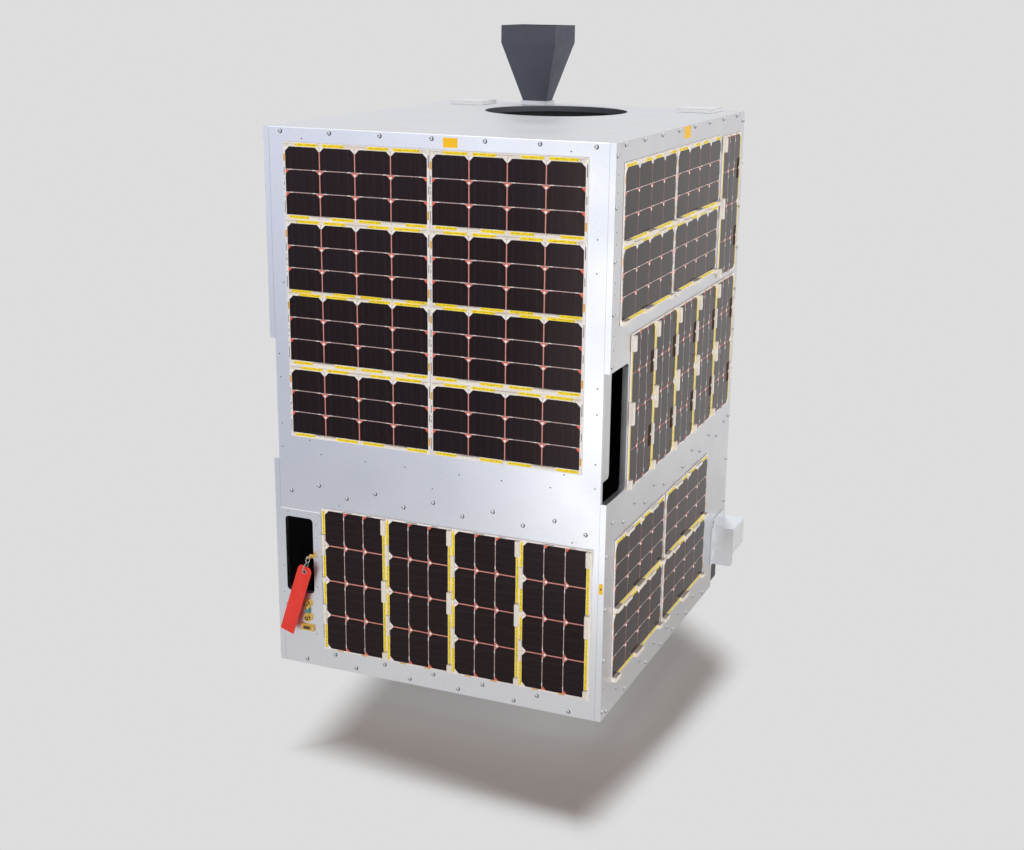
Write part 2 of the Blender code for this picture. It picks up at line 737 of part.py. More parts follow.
def cylinder(start, end, radius, steps=16):
    """A round bar between two points."""
    start = Vector(start)
    end = Vector(end)
    shape = bmesh.new()
    bmesh.ops.create_cone(
        shape,
        cap_ends=True,
        segments=steps,
        radius1=radius,
        radius2=radius,
        depth=(end - start).length,
    )
    turn = (end - start).to_track_quat("Z", "Y").to_matrix().to_4x4()
    bmesh.ops.transform(shape, matrix=Matrix.Translation((start + end) / 2) @ turn, verts=shape.verts)
    return shape


def make_sockets():
    """Two yellow flanges joined by a green link, and the rectangular connector under them."""
    face = FRONT_Y - SEAT - PLATE_THICK - SEAT
    top = PLATE_LOW_Z + SOCKET_HEIGHT
    x = PLATE_LEFT + SOCKET_LEFT_MARGIN
    flanges = [
        cylinder((x, face, z), (x, face - SOCKET_FLANGE_THICK, z), SOCKET_FLANGE_RADIUS)
        for z in (top, top - SOCKET_PITCH)
    ]
    link_y = face - SOCKET_LINK_RADIUS
    link = cylinder((x, link_y, top), (x, link_y, top - SOCKET_PITCH), SOCKET_LINK_RADIUS)
    fused("key_sockets", [flanges[0], link, flanges[1]], gold)
    flange_out = face - CONNECTOR_THICK + CONNECTOR_SHELL_THICK
    flange = connector_block(CONNECTOR_WIDTH, CONNECTOR_TALL, flange_out, face)
    shell_out = face - CONNECTOR_THICK
    shell = connector_block(CONNECTOR_SHELL_WIDTH, CONNECTOR_SHELL_TALL, shell_out, face - SEAT)
    fused("data_connector", [flange, shell], gold)


def connector_block(width, tall, near, far):
    x = PLATE_LEFT + CONNECTOR_LEFT_MARGIN
    z = PLATE_LOW_Z + CONNECTOR_HEIGHT
    return block((x - width / 2, near, z - tall / 2), (x + width / 2, far, z + tall / 2))


def window_right():
    return PLATE_LEFT + WINDOW_LEFT_MARGIN + WINDOW_WIDTH


def swing_pivot():
    """The point on the pin where the clip hangs, far enough out for its ring to clear the plate."""
    standoff = SWING_CLEARANCE + RING_LOOP_RADIUS + WIRE_RADIUS
    plate_face = FRONT_Y - SEAT - PLATE_THICK
    return Vector((window_right() - PIN_EDGE_INSET, plate_face - standoff, PLATE_TOP_Z - FITTING_DROP))


def make_fitting():
    pivot = swing_pivot()
    bead_y = FRONT_Y - SEAT - PLATE_THICK - SEAT - BEAD_RADIUS
    bead_left = pivot.x - PIN_RADIUS
    bead = cylinder((bead_left, bead_y, pivot.z), (bead_left + BEAD_LENGTH, bead_y, pivot.z), BEAD_RADIUS)
    pin = cylinder((pivot.x, bead_y, pivot.z), (pivot.x, pivot.y - PIN_END, pivot.z), PIN_RADIUS)
    fused("gold_fitting", [bead, pin], gold)


def wire_loop(path, across):
    """A closed round wire along a flat path, across being the path's normal."""
    shape = bmesh.new()
    rings = []
    for i, point in enumerate(path):
        along = (path[(i + 1) % len(path)] - path[i - 1]).normalized()
        outward = along.cross(across)
        circle = arc((0, 0), WIRE_RADIUS, 0, 360, WIRE_STEPS)[:-1]
        rings.append([shape.verts.new(point + outward * a + across * b) for a, b in circle])
    for i, ring in enumerate(rings):
        for j in range(WIRE_STEPS):
            shape.faces.new((rings[i - 1][j - 1], ring[j - 1], ring[j], rings[i - 1][j]))
    return shape


def ring_drop():
    """How far the ring's centre hangs under the pivot."""
    loop_low = LOOP_RADIUS - WIRE_RADIUS - PIN_RADIUS - SEAT + LOOP_STRAIGHT + LOOP_RADIUS
    return loop_low + LOOP_LAP + RING_LOOP_RADIUS


def hanger(name, parent, place, lean_deg):
    """An empty on a joint's axis, which what swings there is parented to."""
    made = bpy.data.objects.new(name, None)
    bpy.context.scene.collection.objects.link(made)
    made.parent = parent
    made.location = place
    made.rotation_euler = (0, math.radians(lean_deg), 0)
    return made


def make_clip(swing):
    loop_top = LOOP_RADIUS - WIRE_RADIUS - PIN_RADIUS - SEAT
    upper = arc((0, -loop_top), LOOP_RADIUS, 0, 180)
    lower = arc((0, -loop_top - LOOP_STRAIGHT), LOOP_RADIUS, 180, 360)
    loop = wire_loop([Vector((x, 0, z)) for x, z in upper + lower], Vector((0, 1, 0)))
    circle = arc((0, -ring_drop()), RING_LOOP_RADIUS, 0, 360, CIRCLE_STEPS // 2)[:-1]
    ring = wire_loop([Vector((0, y, z)) for y, z in circle], Vector((1, 0, 0)))
    clip = fused("tag_clip", [loop, ring], polished)
    clip.parent = swing
    for modifier in clip.modifiers:
        modifier.object.parent = swing
    shade_round(clip)


def make_tag(lift):
    """The tag hangs from the ring's lowest point, which passes through its eye."""
    eye = -(RING_LOOP_RADIUS + TAG_EYE_RADIUS - WIRE_RADIUS - SEAT)
    top = eye + TAG_EYE_DROP
    half = TAG_WIDTH / 2
    outline = [
        (-half, top - TAG_LENGTH),
        (half, top - TAG_LENGTH),
        (half, top - TAG_SHOULDER_DROP),
        (half - TAG_SHOULDER_WIDTH, top),
        (TAG_SHOULDER_WIDTH - half, top),
        (-half, top - TAG_SHOULDER_DROP),
    ]
    tag = object_from("pull_tag", extruded(outline, -TAG_THICK / 2, TAG_THICK / 2, "Y"), red_cloth)
    hole_outline = arc((0, eye), TAG_EYE_RADIUS, 0, 360, WIRE_STEPS * 2)[:-1]
    hole = extruded(hole_outline, -TAG_THICK, TAG_THICK, "Y")
    cut(tag, hole, "tag_eye_cutter")
    tag.parent = lift
    tag.modifiers["tag_eye_cutter"].object.parent = lift


def red_cloth(name):
    return finish_material(name, (0.72, 0.05, 0.03), 0.8, 0)


def make_clip_and_tag():
    swing = hanger("clip_swing", None, swing_pivot(), TAG_LEAN_DEG)
    make_clip(swing)
    lift = hanger("tag_lift", swing, Vector((0, 0, -ring_drop())), 0)
    make_tag(lift)


def main():
    clear_scene()
    make_side_panels()
    make_front_and_back()
    make_decks()
    make_ring()
    make_telescope()
    make_horn()
    make_patch_antennas()
    make_slot_brackets()
    make_notch_unit()
    make_hood()
    make_arrays()
    make_service_plate()
    make_sockets()
    make_fitting()
    make_clip_and_tag()


main()
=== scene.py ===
"""Looks of a box-bodied Earth-observation microsatellite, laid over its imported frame.

Run as a script. Each piece or group of like pieces has its own operator, and main() calls them in order.
Metres, +Z up, the front with the service window and the pull tag facing -Y.
"""

import json
import math
import random

import bmesh
import bpy
from mathutils import Matrix, Vector


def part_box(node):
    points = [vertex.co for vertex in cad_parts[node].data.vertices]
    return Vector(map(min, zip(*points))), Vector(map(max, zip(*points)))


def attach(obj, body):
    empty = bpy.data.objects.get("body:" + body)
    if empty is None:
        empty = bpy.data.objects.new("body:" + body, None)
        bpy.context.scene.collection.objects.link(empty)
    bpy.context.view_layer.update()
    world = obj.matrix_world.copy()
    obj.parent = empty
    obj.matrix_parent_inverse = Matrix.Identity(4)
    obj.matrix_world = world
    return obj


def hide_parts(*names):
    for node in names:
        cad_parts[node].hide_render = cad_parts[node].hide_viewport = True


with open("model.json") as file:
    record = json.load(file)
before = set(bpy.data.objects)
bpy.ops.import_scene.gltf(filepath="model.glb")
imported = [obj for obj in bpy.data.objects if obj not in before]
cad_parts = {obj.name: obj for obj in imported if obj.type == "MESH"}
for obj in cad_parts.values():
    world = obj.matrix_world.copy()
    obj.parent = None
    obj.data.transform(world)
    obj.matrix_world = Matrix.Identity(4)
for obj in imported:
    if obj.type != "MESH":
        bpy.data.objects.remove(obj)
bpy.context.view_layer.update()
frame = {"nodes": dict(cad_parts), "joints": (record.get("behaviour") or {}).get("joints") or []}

bl_info = {
    "name": "Observation Microsatellite Looks",
    "version": (1, 0, 0),
    "blender": (4, 5, 0),
    "location": "View3D > Sidebar > Satellite",
    "description": "Dresses the satellite's frame with solar cells, links, screws, finishes and a studio",
    "category": "Object",
}

MM = 0.001
SEED = 7

# Faces of the body box, read from the frame
FRONT_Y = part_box("front_panel")[0].y
REAR_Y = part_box("back_panel")[1].y
SIDE_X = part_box("right_side_panel")[1].x
INNER_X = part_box("right_side_panel")[0].x
INNER_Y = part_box("back_panel")[0].y
TOP_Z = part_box("front_panel")[1].z
DECK_LOW_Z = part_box("top_deck")[0].z
BASE_DECK_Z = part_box("base_deck")[1].z

# Paint inside the body, and in the telescope's hole below its bare lip, black; the grey at the hole's top is
# painted light on its lit upper wall
HOLE_PLACE = (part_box("telescope_barrel")[0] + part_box("telescope_barrel")[1]) / 2
HOLE_RADIUS = 146.3 * MM
HOLE_MARGIN = 0.2 * MM
HOLE_LIP = 0.8 * MM
HOLE_LIT_GREY_DEPTH = 13.0 * MM
HOLE_LIT_GREY = (0.075, 0.078, 0.092, 1)
PAINT_MARGIN = 0.1 * MM
PAINT_BLACK = (0.016, 0.016, 0.018, 1)
BRACKET_INSET = 6.0 * MM

# Solar cells, and the board that carries them
CELL_LONG = 69.0 * MM
CELL_SHORT = 39.6 * MM
LONG_PITCH = 70.5 * MM
SHORT_PITCH = 40.65 * MM
LONG_COUNT = 4
SHORT_COUNT = 3
FIELD_LONG = LONG_COUNT * LONG_PITCH - (LONG_PITCH - CELL_LONG)
FIELD_SHORT = SHORT_COUNT * SHORT_PITCH - (SHORT_PITCH - CELL_SHORT)
BOARD_SEAT = 0.3 * MM
BOARD_FACE = 2.3 * MM
CELL_THICK = 0.3 * MM

# Boards and clamps, in millimetres. Margins are left, right, below and above the cells
LANDSCAPE_MARGINS = (4.5, 4.5, 8.5, 8.5)
PORTRAIT_MARGINS = (7.5, 10.0, 3.5, 3.5)
CLAMP_INSET = 0.5
TAB_WIDTH = 9.0
TAB_HEIGHT = 8.0
PAD_WIDTH = 4.6
PAD_HEIGHT = 4.5
TAB_SPANS = ((-1.0, 28.0), (120.0, 162.0), (264.0, 281.5))
STANDING_TAB_SPANS = ((-1.0, 16.0), (118.0, 161.0), (252.0, 281.5))
UPPER_PAD_SPANS = ((-1.0, 21.0), (121.0, 165.0), (268.0, 281.5))
LOWER_PAD_SPANS = ((48.0, 92.0), (192.0, 238.0))
CLAMP_ROOT = 1.0 * MM
CLAMP_CORNER = 1.1 * MM
CLAMP_LIP = 0.7 * MM
BOARD_EDGE = 0.35 * MM

# Lines between cells, and what sits on their crossings
LINE_THICK = 0.36 * MM
COPPER_HALF = 1.15 * MM
SIDE_COPPER_HALF = 0.50 * MM
CORE_SHARE = 0.28
CORE_RISE = 0.06 * MM
SILVER_HALF = 0.62 * MM
LINK_LONG = 7.0 * MM
LINK_WIDE = 1.5 * MM
LINK_CORNER = 0.5 * MM
LINK_LIP = 0.25 * MM
LINK_SHARES = (0.155, 0.835)
WEDGE_THICK = 0.3 * MM
WEDGE_TIP_SHARE = 0.06
DOT_DROP = 4.1 * MM
DOT_RADIUS = 2.6 * MM
DOT_HEIGHT = 1.1 * MM
DOT_HOLE_SHARE = 0.36
DOT_HOLE_RISE = 0.15 * MM

# Edge strips: (start, end) along the module, and left, low, right and high of marks, in millimetres
LEVEL_UPPER_TAPES = ((21.5, 66), (76, 120.5), (165.5, 206), (216, 267.5))
LEVEL_UPPER_SMALL = ((66.5, 75.5), (206.5, 215.5))
LEVEL_LOWER_TAPES = ((6, 47.5), (92.5, 136), (147, 191.5), (238.5, 279))
LEVEL_LOWER_SMALL = ((-0.5, 5.5), (136.5, 146.5))
LEVEL_PATCHES = ((-3.9, 95, -0.8, 108), (281.2, 8, 284.4, 22))
LEVEL_DASHES = (
    (-3.4, 3, -2.4, 24), (-3.4, 31, -2.4, 33), (-3.4, 44, -2.4, 46), (-3.4, 52, -2.4, 58),
    (-3.4, 62, -2.4, 64), (-3.4, 70, -2.4, 84), (282.6, 97, 283.9, 119), (282.6, 52, 283.7, 66),
)
LEVEL_UPPER_SCREWS = (6, 143, 273)
LEVEL_LOWER_SCREWS = (70, 214)
LEVEL_UPPER_LINE = 3.0
LEVEL_LOWER_LINE = -2.8
STANDING_PATCHES = ((-3.0, 36, -0.8, 49), (-3.0, 87, -0.8, 100))
STANDING_DASHES = ((281.6, 20, 282.6, 34), (281.6, 62, 282.6, 84))
TABBED_UPPER_TAPES = ((1, 49.5), (91.5, 136), (147, 190.5), (232.5, 279.5))
TABBED_UPPER_PADS = ((50, 91), (136.5, 146.5), (191, 232))
TABBED_UPPER_SCREWS = (70, 211)
TABBED_UPPER_LINE = 3.4
TAPE_CLEARANCE = 0.6
# Painted shade: dark brown patches on the cells under the side modules' upper pads, for the raised pads'
# shaded sides
PAD_SHADE_SPANS = ((50, 91), (191, 232))
PAD_SHADE_WIDE = 18.0 * MM
STRIP_OFFSET = 0.3 * MM
STRIP_PAD_CORNER = 1.0 * MM
STRIP_PAD_LIP = 0.5 * MM
STRIP_SCREW_RADIUS = 1.25 * MM
STRIP_SCREW_RISE = 0.25
TAPE_CORNER = 0.5 * MM
AMBER_THICK = 0.2 * MM
DASH_THICK = 0.15 * MM
UPPER_TAPE = 5.4 * MM
LOWER_TAPE = 6.2 * MM
UPPER_PAD_WIDE = 6.6 * MM
UPPER_PAD_TALL = 4.3 * MM
STRIP_HEIGHTS = ((7.4, 7.2), (7.2, 5.1), (5.1, 8.2), (8.2, 7.6))

# Where each array's modules start along its face, and where their cells end at the top. Opposite walls
# are alike. The columns are the array's part of the wall, how its modules lie, the starts and the tops
FRONT_TOPS = (1.0583, 0.9220, 0.7900, 0.6513)
LOWER_STARTS = (-0.2251, -0.0901, 0.0449, 0.1799)
MIDDLE_STARTS = (0.2477, 0.1129, -0.0219, -0.1567, -0.2915)
END_ARRAYS = (
    ("left", "landscape", (-0.2882,), FRONT_TOPS),
    ("right", "landscape", (0.0020,), FRONT_TOPS),
    ("lower", "portrait", LOWER_STARTS, (0.3835,)),
)
SIDE_ARRAYS = (
    ("upper_fore", "landscape", (-0.3582,), (1.0483, 0.9109)),
    ("upper_aft", "landscape", (-0.0633,), (1.0483, 0.9109)),
    ("corner", "portrait", (0.2477,), (1.0483,)),
    ("middle", "portrait", MIDDLE_STARTS, (0.7522,)),
    ("lower_fore", "landscape", (-0.3504,), (0.3829, 0.2466)),
    ("lower_aft", "landscape", (-0.0507,), (0.3829, 0.2466)),
)
WALL_ARRAYS = (("front", END_ARRAYS), ("back", END_ARRAYS), ("right", SIDE_ARRAYS), ("left", SIDE_ARRAYS))
ARRAYS = tuple((f"{face}_array_{part}", face, *rest) for face, group in WALL_ARRAYS for part, *rest in group)

# Each face's own axes: along, up and out, and the wall that it lies on
FACES = {
    "front": (Vector((1, 0, 0)), Vector((0, 0, 1)), Vector((0, -1, 0)), -FRONT_Y),
    "right": (Vector((0, 1, 0)), Vector((0, 0, 1)), Vector((1, 0, 0)), SIDE_X),
    "back": (Vector((-1, 0, 0)), Vector((0, 0, 1)), Vector((0, 1, 0)), REAR_Y),
    "left": (Vector((0, 1, 0)), Vector((0, 0, 1)), Vector((-1, 0, 0)), SIDE_X),
}

# The photograph's camera
CAMERA_PLACE = Vector((1.1519, -2.7610, 1.3261))
CAMERA_LOOK = Vector((-0.37472, 0.88564, -0.27427))
CAMERA_RIGHT = Vector((0.91977, 0.39232, 0.01023))
CAMERA_LENS = 53.41
CAMERA_SENSOR = 36.0


def shade(red, green, blue):
    """A colour as it shows on a screen, from 0 to 255, in the linear values that shaders take."""
    linear = []
    for part in (red / 255, green / 255, blue / 255):
        linear.append(part / 12.92 if part <= 0.04045 else ((part + 0.055) / 1.055) ** 2.4)
    return (*linear, 1.0)


# Sizes and colours that a user would change


def length(name, text, value):
    return bpy.props.FloatProperty(name=name, description=text, default=value, min=0, unit="LENGTH")


def colour(name, text, value):
    return bpy.props.FloatVectorProperty(
        name=name, description=text, default=value, size=4, min=0, max=1, subtype="COLOR"
    )


class SatelliteSizes(bpy.types.PropertyGroup):
    cell_crop: length("Cell crop", "Cut across a cell's two upper corners", 8.0 * MM)
    link_thick: length("Link height", "Height of a white link pad over the board", 0.9 * MM)
    pad_thick: length("Pad height", "Height of a small potted pad over the board", 1.4 * MM)
    tape_thick: length("Tape height", "Height of the tape over the board", 0.4 * MM)
    screw_radius: length("Screw radius", "Radius of a panel screw's head", 3.3 * MM)
    screw_height: length("Screw height", "Height of a panel screw's head", 3.5 * MM)
    insert_radius: length("Insert radius", "Radius of a small threaded insert", 1.9 * MM)
    tag_curl: length("Tag curl", "How far the tag's lower end bows off the wall", 1.2 * MM)


class SatelliteColours(bpy.types.PropertyGroup):
    panel: colour("Panel", "Satin aluminium of the walls", shade(238, 239, 242))
    deck: colour("Deck", "Satin aluminium of the decks", shade(228, 229, 231))
    cell: colour("Cell", "Dark glass of the solar cells", (0.006, 0.0022, 0.0025, 1))
    cell_cool: colour("Cool cell", "Cooler tint of some of the cells", (0.006, 0.004, 0.007, 1))
    board: colour("Board", "White board that carries the cells", shade(242, 237, 233))
    copper: colour("Copper", "Copper between the cells", shade(208, 118, 100))
    wedge: colour("Wedge", "Copper left open between cropped corners", shade(226, 104, 84))
    silver: colour("Silver link", "Metal lines between rows of cells", shade(205, 180, 176))
    tape: colour("Tape", "Yellow tape on a module's edge strips", shade(255, 226, 10))
    amber: colour("Amber tape", "Amber tape on a module's side edges", shade(232, 168, 28))
    pad: colour("Pad", "Potted white pads", shade(240, 233, 222))
    label: colour("Label", "Blank yellow labels", shade(255, 200, 12))
    gold: colour("Gold", "Plated sockets and connector", (0.90, 0.57, 0.13, 1))
    teal: colour("Teal", "Sleeve between the two sockets", shade(64, 140, 130))
    tag: colour("Tag", "Red woven tag", shade(245, 62, 48))
    floor: colour("Floor", "Studio floor and background", shade(221, 221, 221))


def sizes():
    return bpy.context.scene.satellite_sizes


def colours():
    return bpy.context.scene.satellite_colours


# Node helpers and the shared effects, with the span of noise that makes worn patches and specks

PATCH_SPAN = (0.35, 0.7)
SPECK_SPAN = (0.52, 0.78)
SPECK_FINENESS = 22.0
WORN_TONE = (0.62, 0.62, 0.64, 1)


def node(tree, kind, inputs=None, **settings):
    """A new node with its settings, its inputs set to values or linked to other nodes' outputs."""
    made = tree.nodes.new(kind)
    for key, value in settings.items():
        setattr(made, key, value)
    for key, value in (inputs or {}).items():
        if isinstance(value, bpy.types.NodeSocket):
            tree.links.new(value, made.inputs[key])
        else:
            made.inputs[key].default_value = value
    return made


def maths(tree, operation, first, second=0.0):
    return node(tree, "ShaderNodeMath", {0: first, 1: second}, operation=operation).outputs[0]


def mixed(tree, amount, first, second, blend="MIX"):
    made = node(tree, "ShaderNodeMix", {0: amount, 6: first, 7: second}, data_type="RGBA", blend_type=blend)
    return made.outputs[2]


def ranged(tree, value, low, high, start=0.0, end=1.0, **settings):
    made = node(tree, "ShaderNodeMapRange", {"Value": value, "To Min": low, "To Max": high}, **settings)
    made.inputs["From Min"].default_value = start
    made.inputs["From Max"].default_value = end
    return made.outputs[0]


def part_way(tree, value, span, **settings):
    """How far a value has come from a span's start to its end, from 0 to 1."""
    return ranged(tree, value, 0.0, 1.0, *span, **settings)


def object_place(tree):
    return node(tree, "ShaderNodeTexCoord").outputs["Object"]


def new_group(name, sockets_in, sockets_out):
    """An empty node group with its named sockets, and its input and output nodes."""
    tree = bpy.data.node_groups.new(name, "ShaderNodeTree")
    for label, kind, value in sockets_in:
        made = tree.interface.new_socket(label, in_out="INPUT", socket_type="NodeSocket" + kind)
        made.default_value = value
    for label, kind in sockets_out:
        tree.interface.new_socket(label, in_out="OUTPUT", socket_type="NodeSocket" + kind)
    return tree, tree.nodes.new("NodeGroupInput"), tree.nodes.new("NodeGroupOutput")


def uneven_group():
    """Small unevenness of a colour and its roughness, with a height for the bump."""
    name = "uneven_finish"
    if name in bpy.data.node_groups:
        return bpy.data.node_groups[name]
    tree, given, result = new_group(
        name,
        (("Colour", "Color", (0.5, 0.5, 0.5, 1)), ("Scale", "Float", 40.0), ("Darker", "Float", 0.1),
         ("Smooth", "Float", 0.3), ("Rough", "Float", 0.5), ("Speckle", "Float", 0.1)),
        (("Colour", "Color"), ("Roughness", "Float"), ("Height", "Float")),
    )
    place = object_place(tree)
    scale = given.outputs["Scale"]
    broad = node(tree, "ShaderNodeTexNoise", {"Vector": place, "Scale": scale, "Detail": 4})
    fine_scale = maths(tree, "MULTIPLY", scale, SPECK_FINENESS)
    fine = node(tree, "ShaderNodeTexNoise", {"Vector": place, "Scale": fine_scale, "Detail": 2})
    dark = mixed(tree, 1.0, given.outputs["Colour"], WORN_TONE, "MULTIPLY")
    patches = part_way(tree, broad.outputs["Fac"], PATCH_SPAN)
    broad_part = maths(tree, "MULTIPLY", patches, given.outputs["Darker"])
    specks = part_way(tree, fine.outputs["Fac"], SPECK_SPAN)
    fine_part = maths(tree, "MULTIPLY", specks, given.outputs["Speckle"])
    amount = maths(tree, "ADD", broad_part, fine_part)
    tree.links.new(mixed(tree, amount, given.outputs["Colour"], dark), result.inputs["Colour"])
    spread = maths(tree, "SUBTRACT", given.outputs["Rough"], given.outputs["Smooth"])
    rise = maths(tree, "MULTIPLY", spread, patches)
    tree.links.new(maths(tree, "ADD", given.outputs["Smooth"], rise), result.inputs["Roughness"])
    tree.links.new(fine.outputs["Fac"], result.inputs["Height"])
    return tree


def inside_group():
    """Paints a wall's faces inside the body and the telescope's hole black, the hole's upper part grey as
    painted light.
    """
    name = "black_inside"
    if name in bpy.data.node_groups:
        return bpy.data.node_groups[name]
    tree, given, result = new_group(
        name,
        (("Colour", "Color", (1, 1, 1, 1)), ("Inset", "Float", 0.0)),
        (("Colour", "Color"), ("Metal", "Float")),
    )
    split = node(tree, "ShaderNodeSeparateXYZ", {"Vector": object_place(tree)})
    inner = maths(tree, "SUBTRACT", INNER_X + PAINT_MARGIN, given.outputs["Inset"])
    across = maths(tree, "LESS_THAN", maths(tree, "ABSOLUTE", split.outputs["X"]), inner)
    along = maths(tree, "LESS_THAN", maths(tree, "ABSOLUTE", split.outputs["Y"]), INNER_Y + PAINT_MARGIN)
    below = maths(tree, "LESS_THAN", split.outputs["Z"], DECK_LOW_Z + PAINT_MARGIN)
    above = maths(tree, "GREATER_THAN", split.outputs["Z"], BASE_DECK_Z - PAINT_MARGIN)
    level = maths(tree, "MULTIPLY", below, above)
    inside = maths(tree, "MULTIPLY", maths(tree, "MULTIPLY", across, along), level)
    flat = node(tree, "ShaderNodeCombineXYZ", {"X": split.outputs["X"], "Y": split.outputs["Y"]})
    middle = (HOLE_PLACE.x, HOLE_PLACE.y, 0.0)
    reach = node(tree, "ShaderNodeVectorMath", {0: flat.outputs[0], 1: middle}, operation="DISTANCE")
    round_wall = maths(tree, "LESS_THAN", reach.outputs["Value"], HOLE_RADIUS + HOLE_MARGIN)
    sunk = maths(tree, "LESS_THAN", split.outputs["Z"], TOP_Z - HOLE_LIP)
    hole = maths(tree, "MULTIPLY", round_wall, sunk)
    mask = maths(tree, "MAXIMUM", inside, hole)
    # Painted light: the hole's upper wall is grey, as if lit, over black deeper down
    upper = maths(tree, "GREATER_THAN", split.outputs["Z"], TOP_Z - HOLE_LIT_GREY_DEPTH)
    paint = mixed(tree, maths(tree, "MULTIPLY", hole, upper), PAINT_BLACK, HOLE_LIT_GREY)
    tree.links.new(mixed(tree, mask, given.outputs["Colour"], paint), result.inputs["Colour"])
    tree.links.new(maths(tree, "SUBTRACT", 1.0, mask), result.inputs["Metal"])
    return tree


def stripes_group():
    """Fine parallel lines on a piece's own UV map, as a mask."""
    name = "fine_lines"
    if name in bpy.data.node_groups:
        return bpy.data.node_groups[name]
    tree, given, result = new_group(
        name,
        (("Pitch", "Float", 1.0 * MM), ("Width Share", "Float", 0.15), ("Turned", "Float", 0.0)),
        (("Mask", "Float"),),
    )
    split = node(tree, "ShaderNodeSeparateXYZ", {"Vector": node(tree, "ShaderNodeUVMap").outputs[0]})
    unturned = maths(tree, "SUBTRACT", 1.0, given.outputs["Turned"])
    straight = maths(tree, "MULTIPLY", split.outputs["X"], unturned)
    turned = maths(tree, "MULTIPLY", split.outputs["Y"], given.outputs["Turned"])
    steps = maths(tree, "DIVIDE", maths(tree, "ADD", straight, turned), given.outputs["Pitch"])
    part = maths(tree, "FRACT", steps)
    tree.links.new(maths(tree, "LESS_THAN", part, given.outputs["Width Share"]), result.inputs["Mask"])
    return tree


def shader_material(name, metallic=0.0, **sockets):
    """A material with its one Principled shader, its plain sockets set by name."""
    made = bpy.data.materials.new(name)
    made.use_nodes = True
    tree = made.node_tree
    shader = tree.nodes["Principled BSDF"]
    shader.inputs["Metallic"].default_value = metallic
    for key, value in sockets.items():
        shader.inputs[key.replace("_", " ")].default_value = value
    return made, tree, shader


def bumped(tree, shader, height, strength, distance):
    made = node(tree, "ShaderNodeBump", {"Height": height, "Strength": strength, "Distance": distance})
    tree.links.new(made.outputs[0], shader.inputs["Normal"])


def uneven(tree, tint, scale, darker, smooth, rough, speckle=0.1):
    inputs = {"Colour": tint, "Scale": scale, "Darker": darker, "Smooth": smooth, "Rough": rough}
    return node(tree, "ShaderNodeGroup", {**inputs, "Speckle": speckle}, node_tree=uneven_group())


def plain_finish(name, tint, scale, darker, smooth, rough, speckle=0.1, metallic=0.0, bump=0.1, **sockets):
    """A finish whose colour, roughness and relief come from the shared unevenness."""
    if name in bpy.data.materials:
        return bpy.data.materials[name]
    made, tree, shader = shader_material(name, metallic, **sockets)
    effect = uneven(tree, tint, scale, darker, smooth, rough, speckle)
    tree.links.new(effect.outputs["Colour"], shader.inputs["Base Color"])
    tree.links.new(effect.outputs["Roughness"], shader.inputs["Roughness"])
    bumped(tree, shader, effect.outputs["Height"], bump, 0.0004)
    return made


def wall_finish(name, tint, smooth, rough, speckle, inset=0.0):
    """Satin metal whose faces inside the body are black, beyond an inset where that is given."""
    if name in bpy.data.materials:
        return bpy.data.materials[name]
    made, tree, shader = shader_material(name)
    effect = uneven(tree, tint, 9.0, 0.10, smooth, rough, speckle)
    inputs = {"Colour": effect.outputs["Colour"], "Inset": inset}
    inside = node(tree, "ShaderNodeGroup", inputs, node_tree=inside_group())
    tree.links.new(inside.outputs["Colour"], shader.inputs["Base Color"])
    tree.links.new(inside.outputs["Metal"], shader.inputs["Metallic"])
    tree.links.new(effect.outputs["Roughness"], shader.inputs["Roughness"])
    bumped(tree, shader, effect.outputs["Height"], 0.08, 0.0003)
    return made


# Finishes, with the lines and streaks of cells, the weave, the tape's marks, and the lens's painted blue
# reflection and warm rim

FINGER_PITCH = 1.15 * MM
FINGER_TONE = (0.30, 0.26, 0.25, 1)
STREAK_STRETCH = (150.0, 9.0, 1.0)
STREAK_SPAN = (0.45, 0.75)
STREAK_TONE = (0.026, 0.018, 0.018, 1)
CELL_ROUGHNESS = (0.05, 0.11)
WEAVE_PITCH = 0.9 * MM
TAPE_MARK_HALF = 0.9 * MM
TAPE_YELLOW_HALF = 2.6 * MM
LENS_RIM = (0.10, 0.155)
LENS_BLUE_REFLECTION_TONE = (0.010, 0.016, 0.045, 1)
LENS_RIM_TONE = (0.10, 0.055, 0.012, 1)


def panel_finish():
    return wall_finish("panel_aluminium_finish", colours().panel, 0.30, 0.38, 0.16)


def deck_finish():
    return wall_finish("deck_aluminium_finish", colours().deck, 0.46, 0.56, 0.10)


def bracket_finish():
    return wall_finish("slot_bracket_finish", colours().deck, 0.30, 0.40, 0.10, BRACKET_INSET)


def ring_finish():
    return plain_finish("ring_aluminium_finish", colours().deck, 30, 0.15, 0.25, 0.4, metallic=1.0)


def hood_finish():
    tint = shade(236, 239, 243)
    return plain_finish("bright_aluminium_finish", tint, 14, 0.08, 0.2, 0.32, 0.05, 0.55, 0.03)


# Chamfer metal brighter than the panels': partly the chamfer's real reflection, partly a painted highlight
def chamfer_highlight_finish():
    return plain_finish("bright_chamfer_highlight_finish", shade(250, 250, 252), 40, 0.05, 0.2, 0.3, 0.05, 1.0, 0.02)


def black_finish():
    return plain_finish("black_coating_finish", (0.030, 0.032, 0.037, 1), 35, 0.25, 0.34, 0.5, 0.2)


def horn_finish():
    tint = (0.092, 0.098, 0.124, 1)
    return plain_finish(
        "horn_black_finish", tint, 30, 0.12, 0.45, 0.6, 0.1, bump=0.05, Specular_IOR_Level=0.1
    )


def barrel_finish():
    tint = (0.004, 0.0045, 0.006, 1)
    return plain_finish("barrel_black_finish", tint, 30, 0.15, 0.5, 0.65, 0.1, bump=0.05)


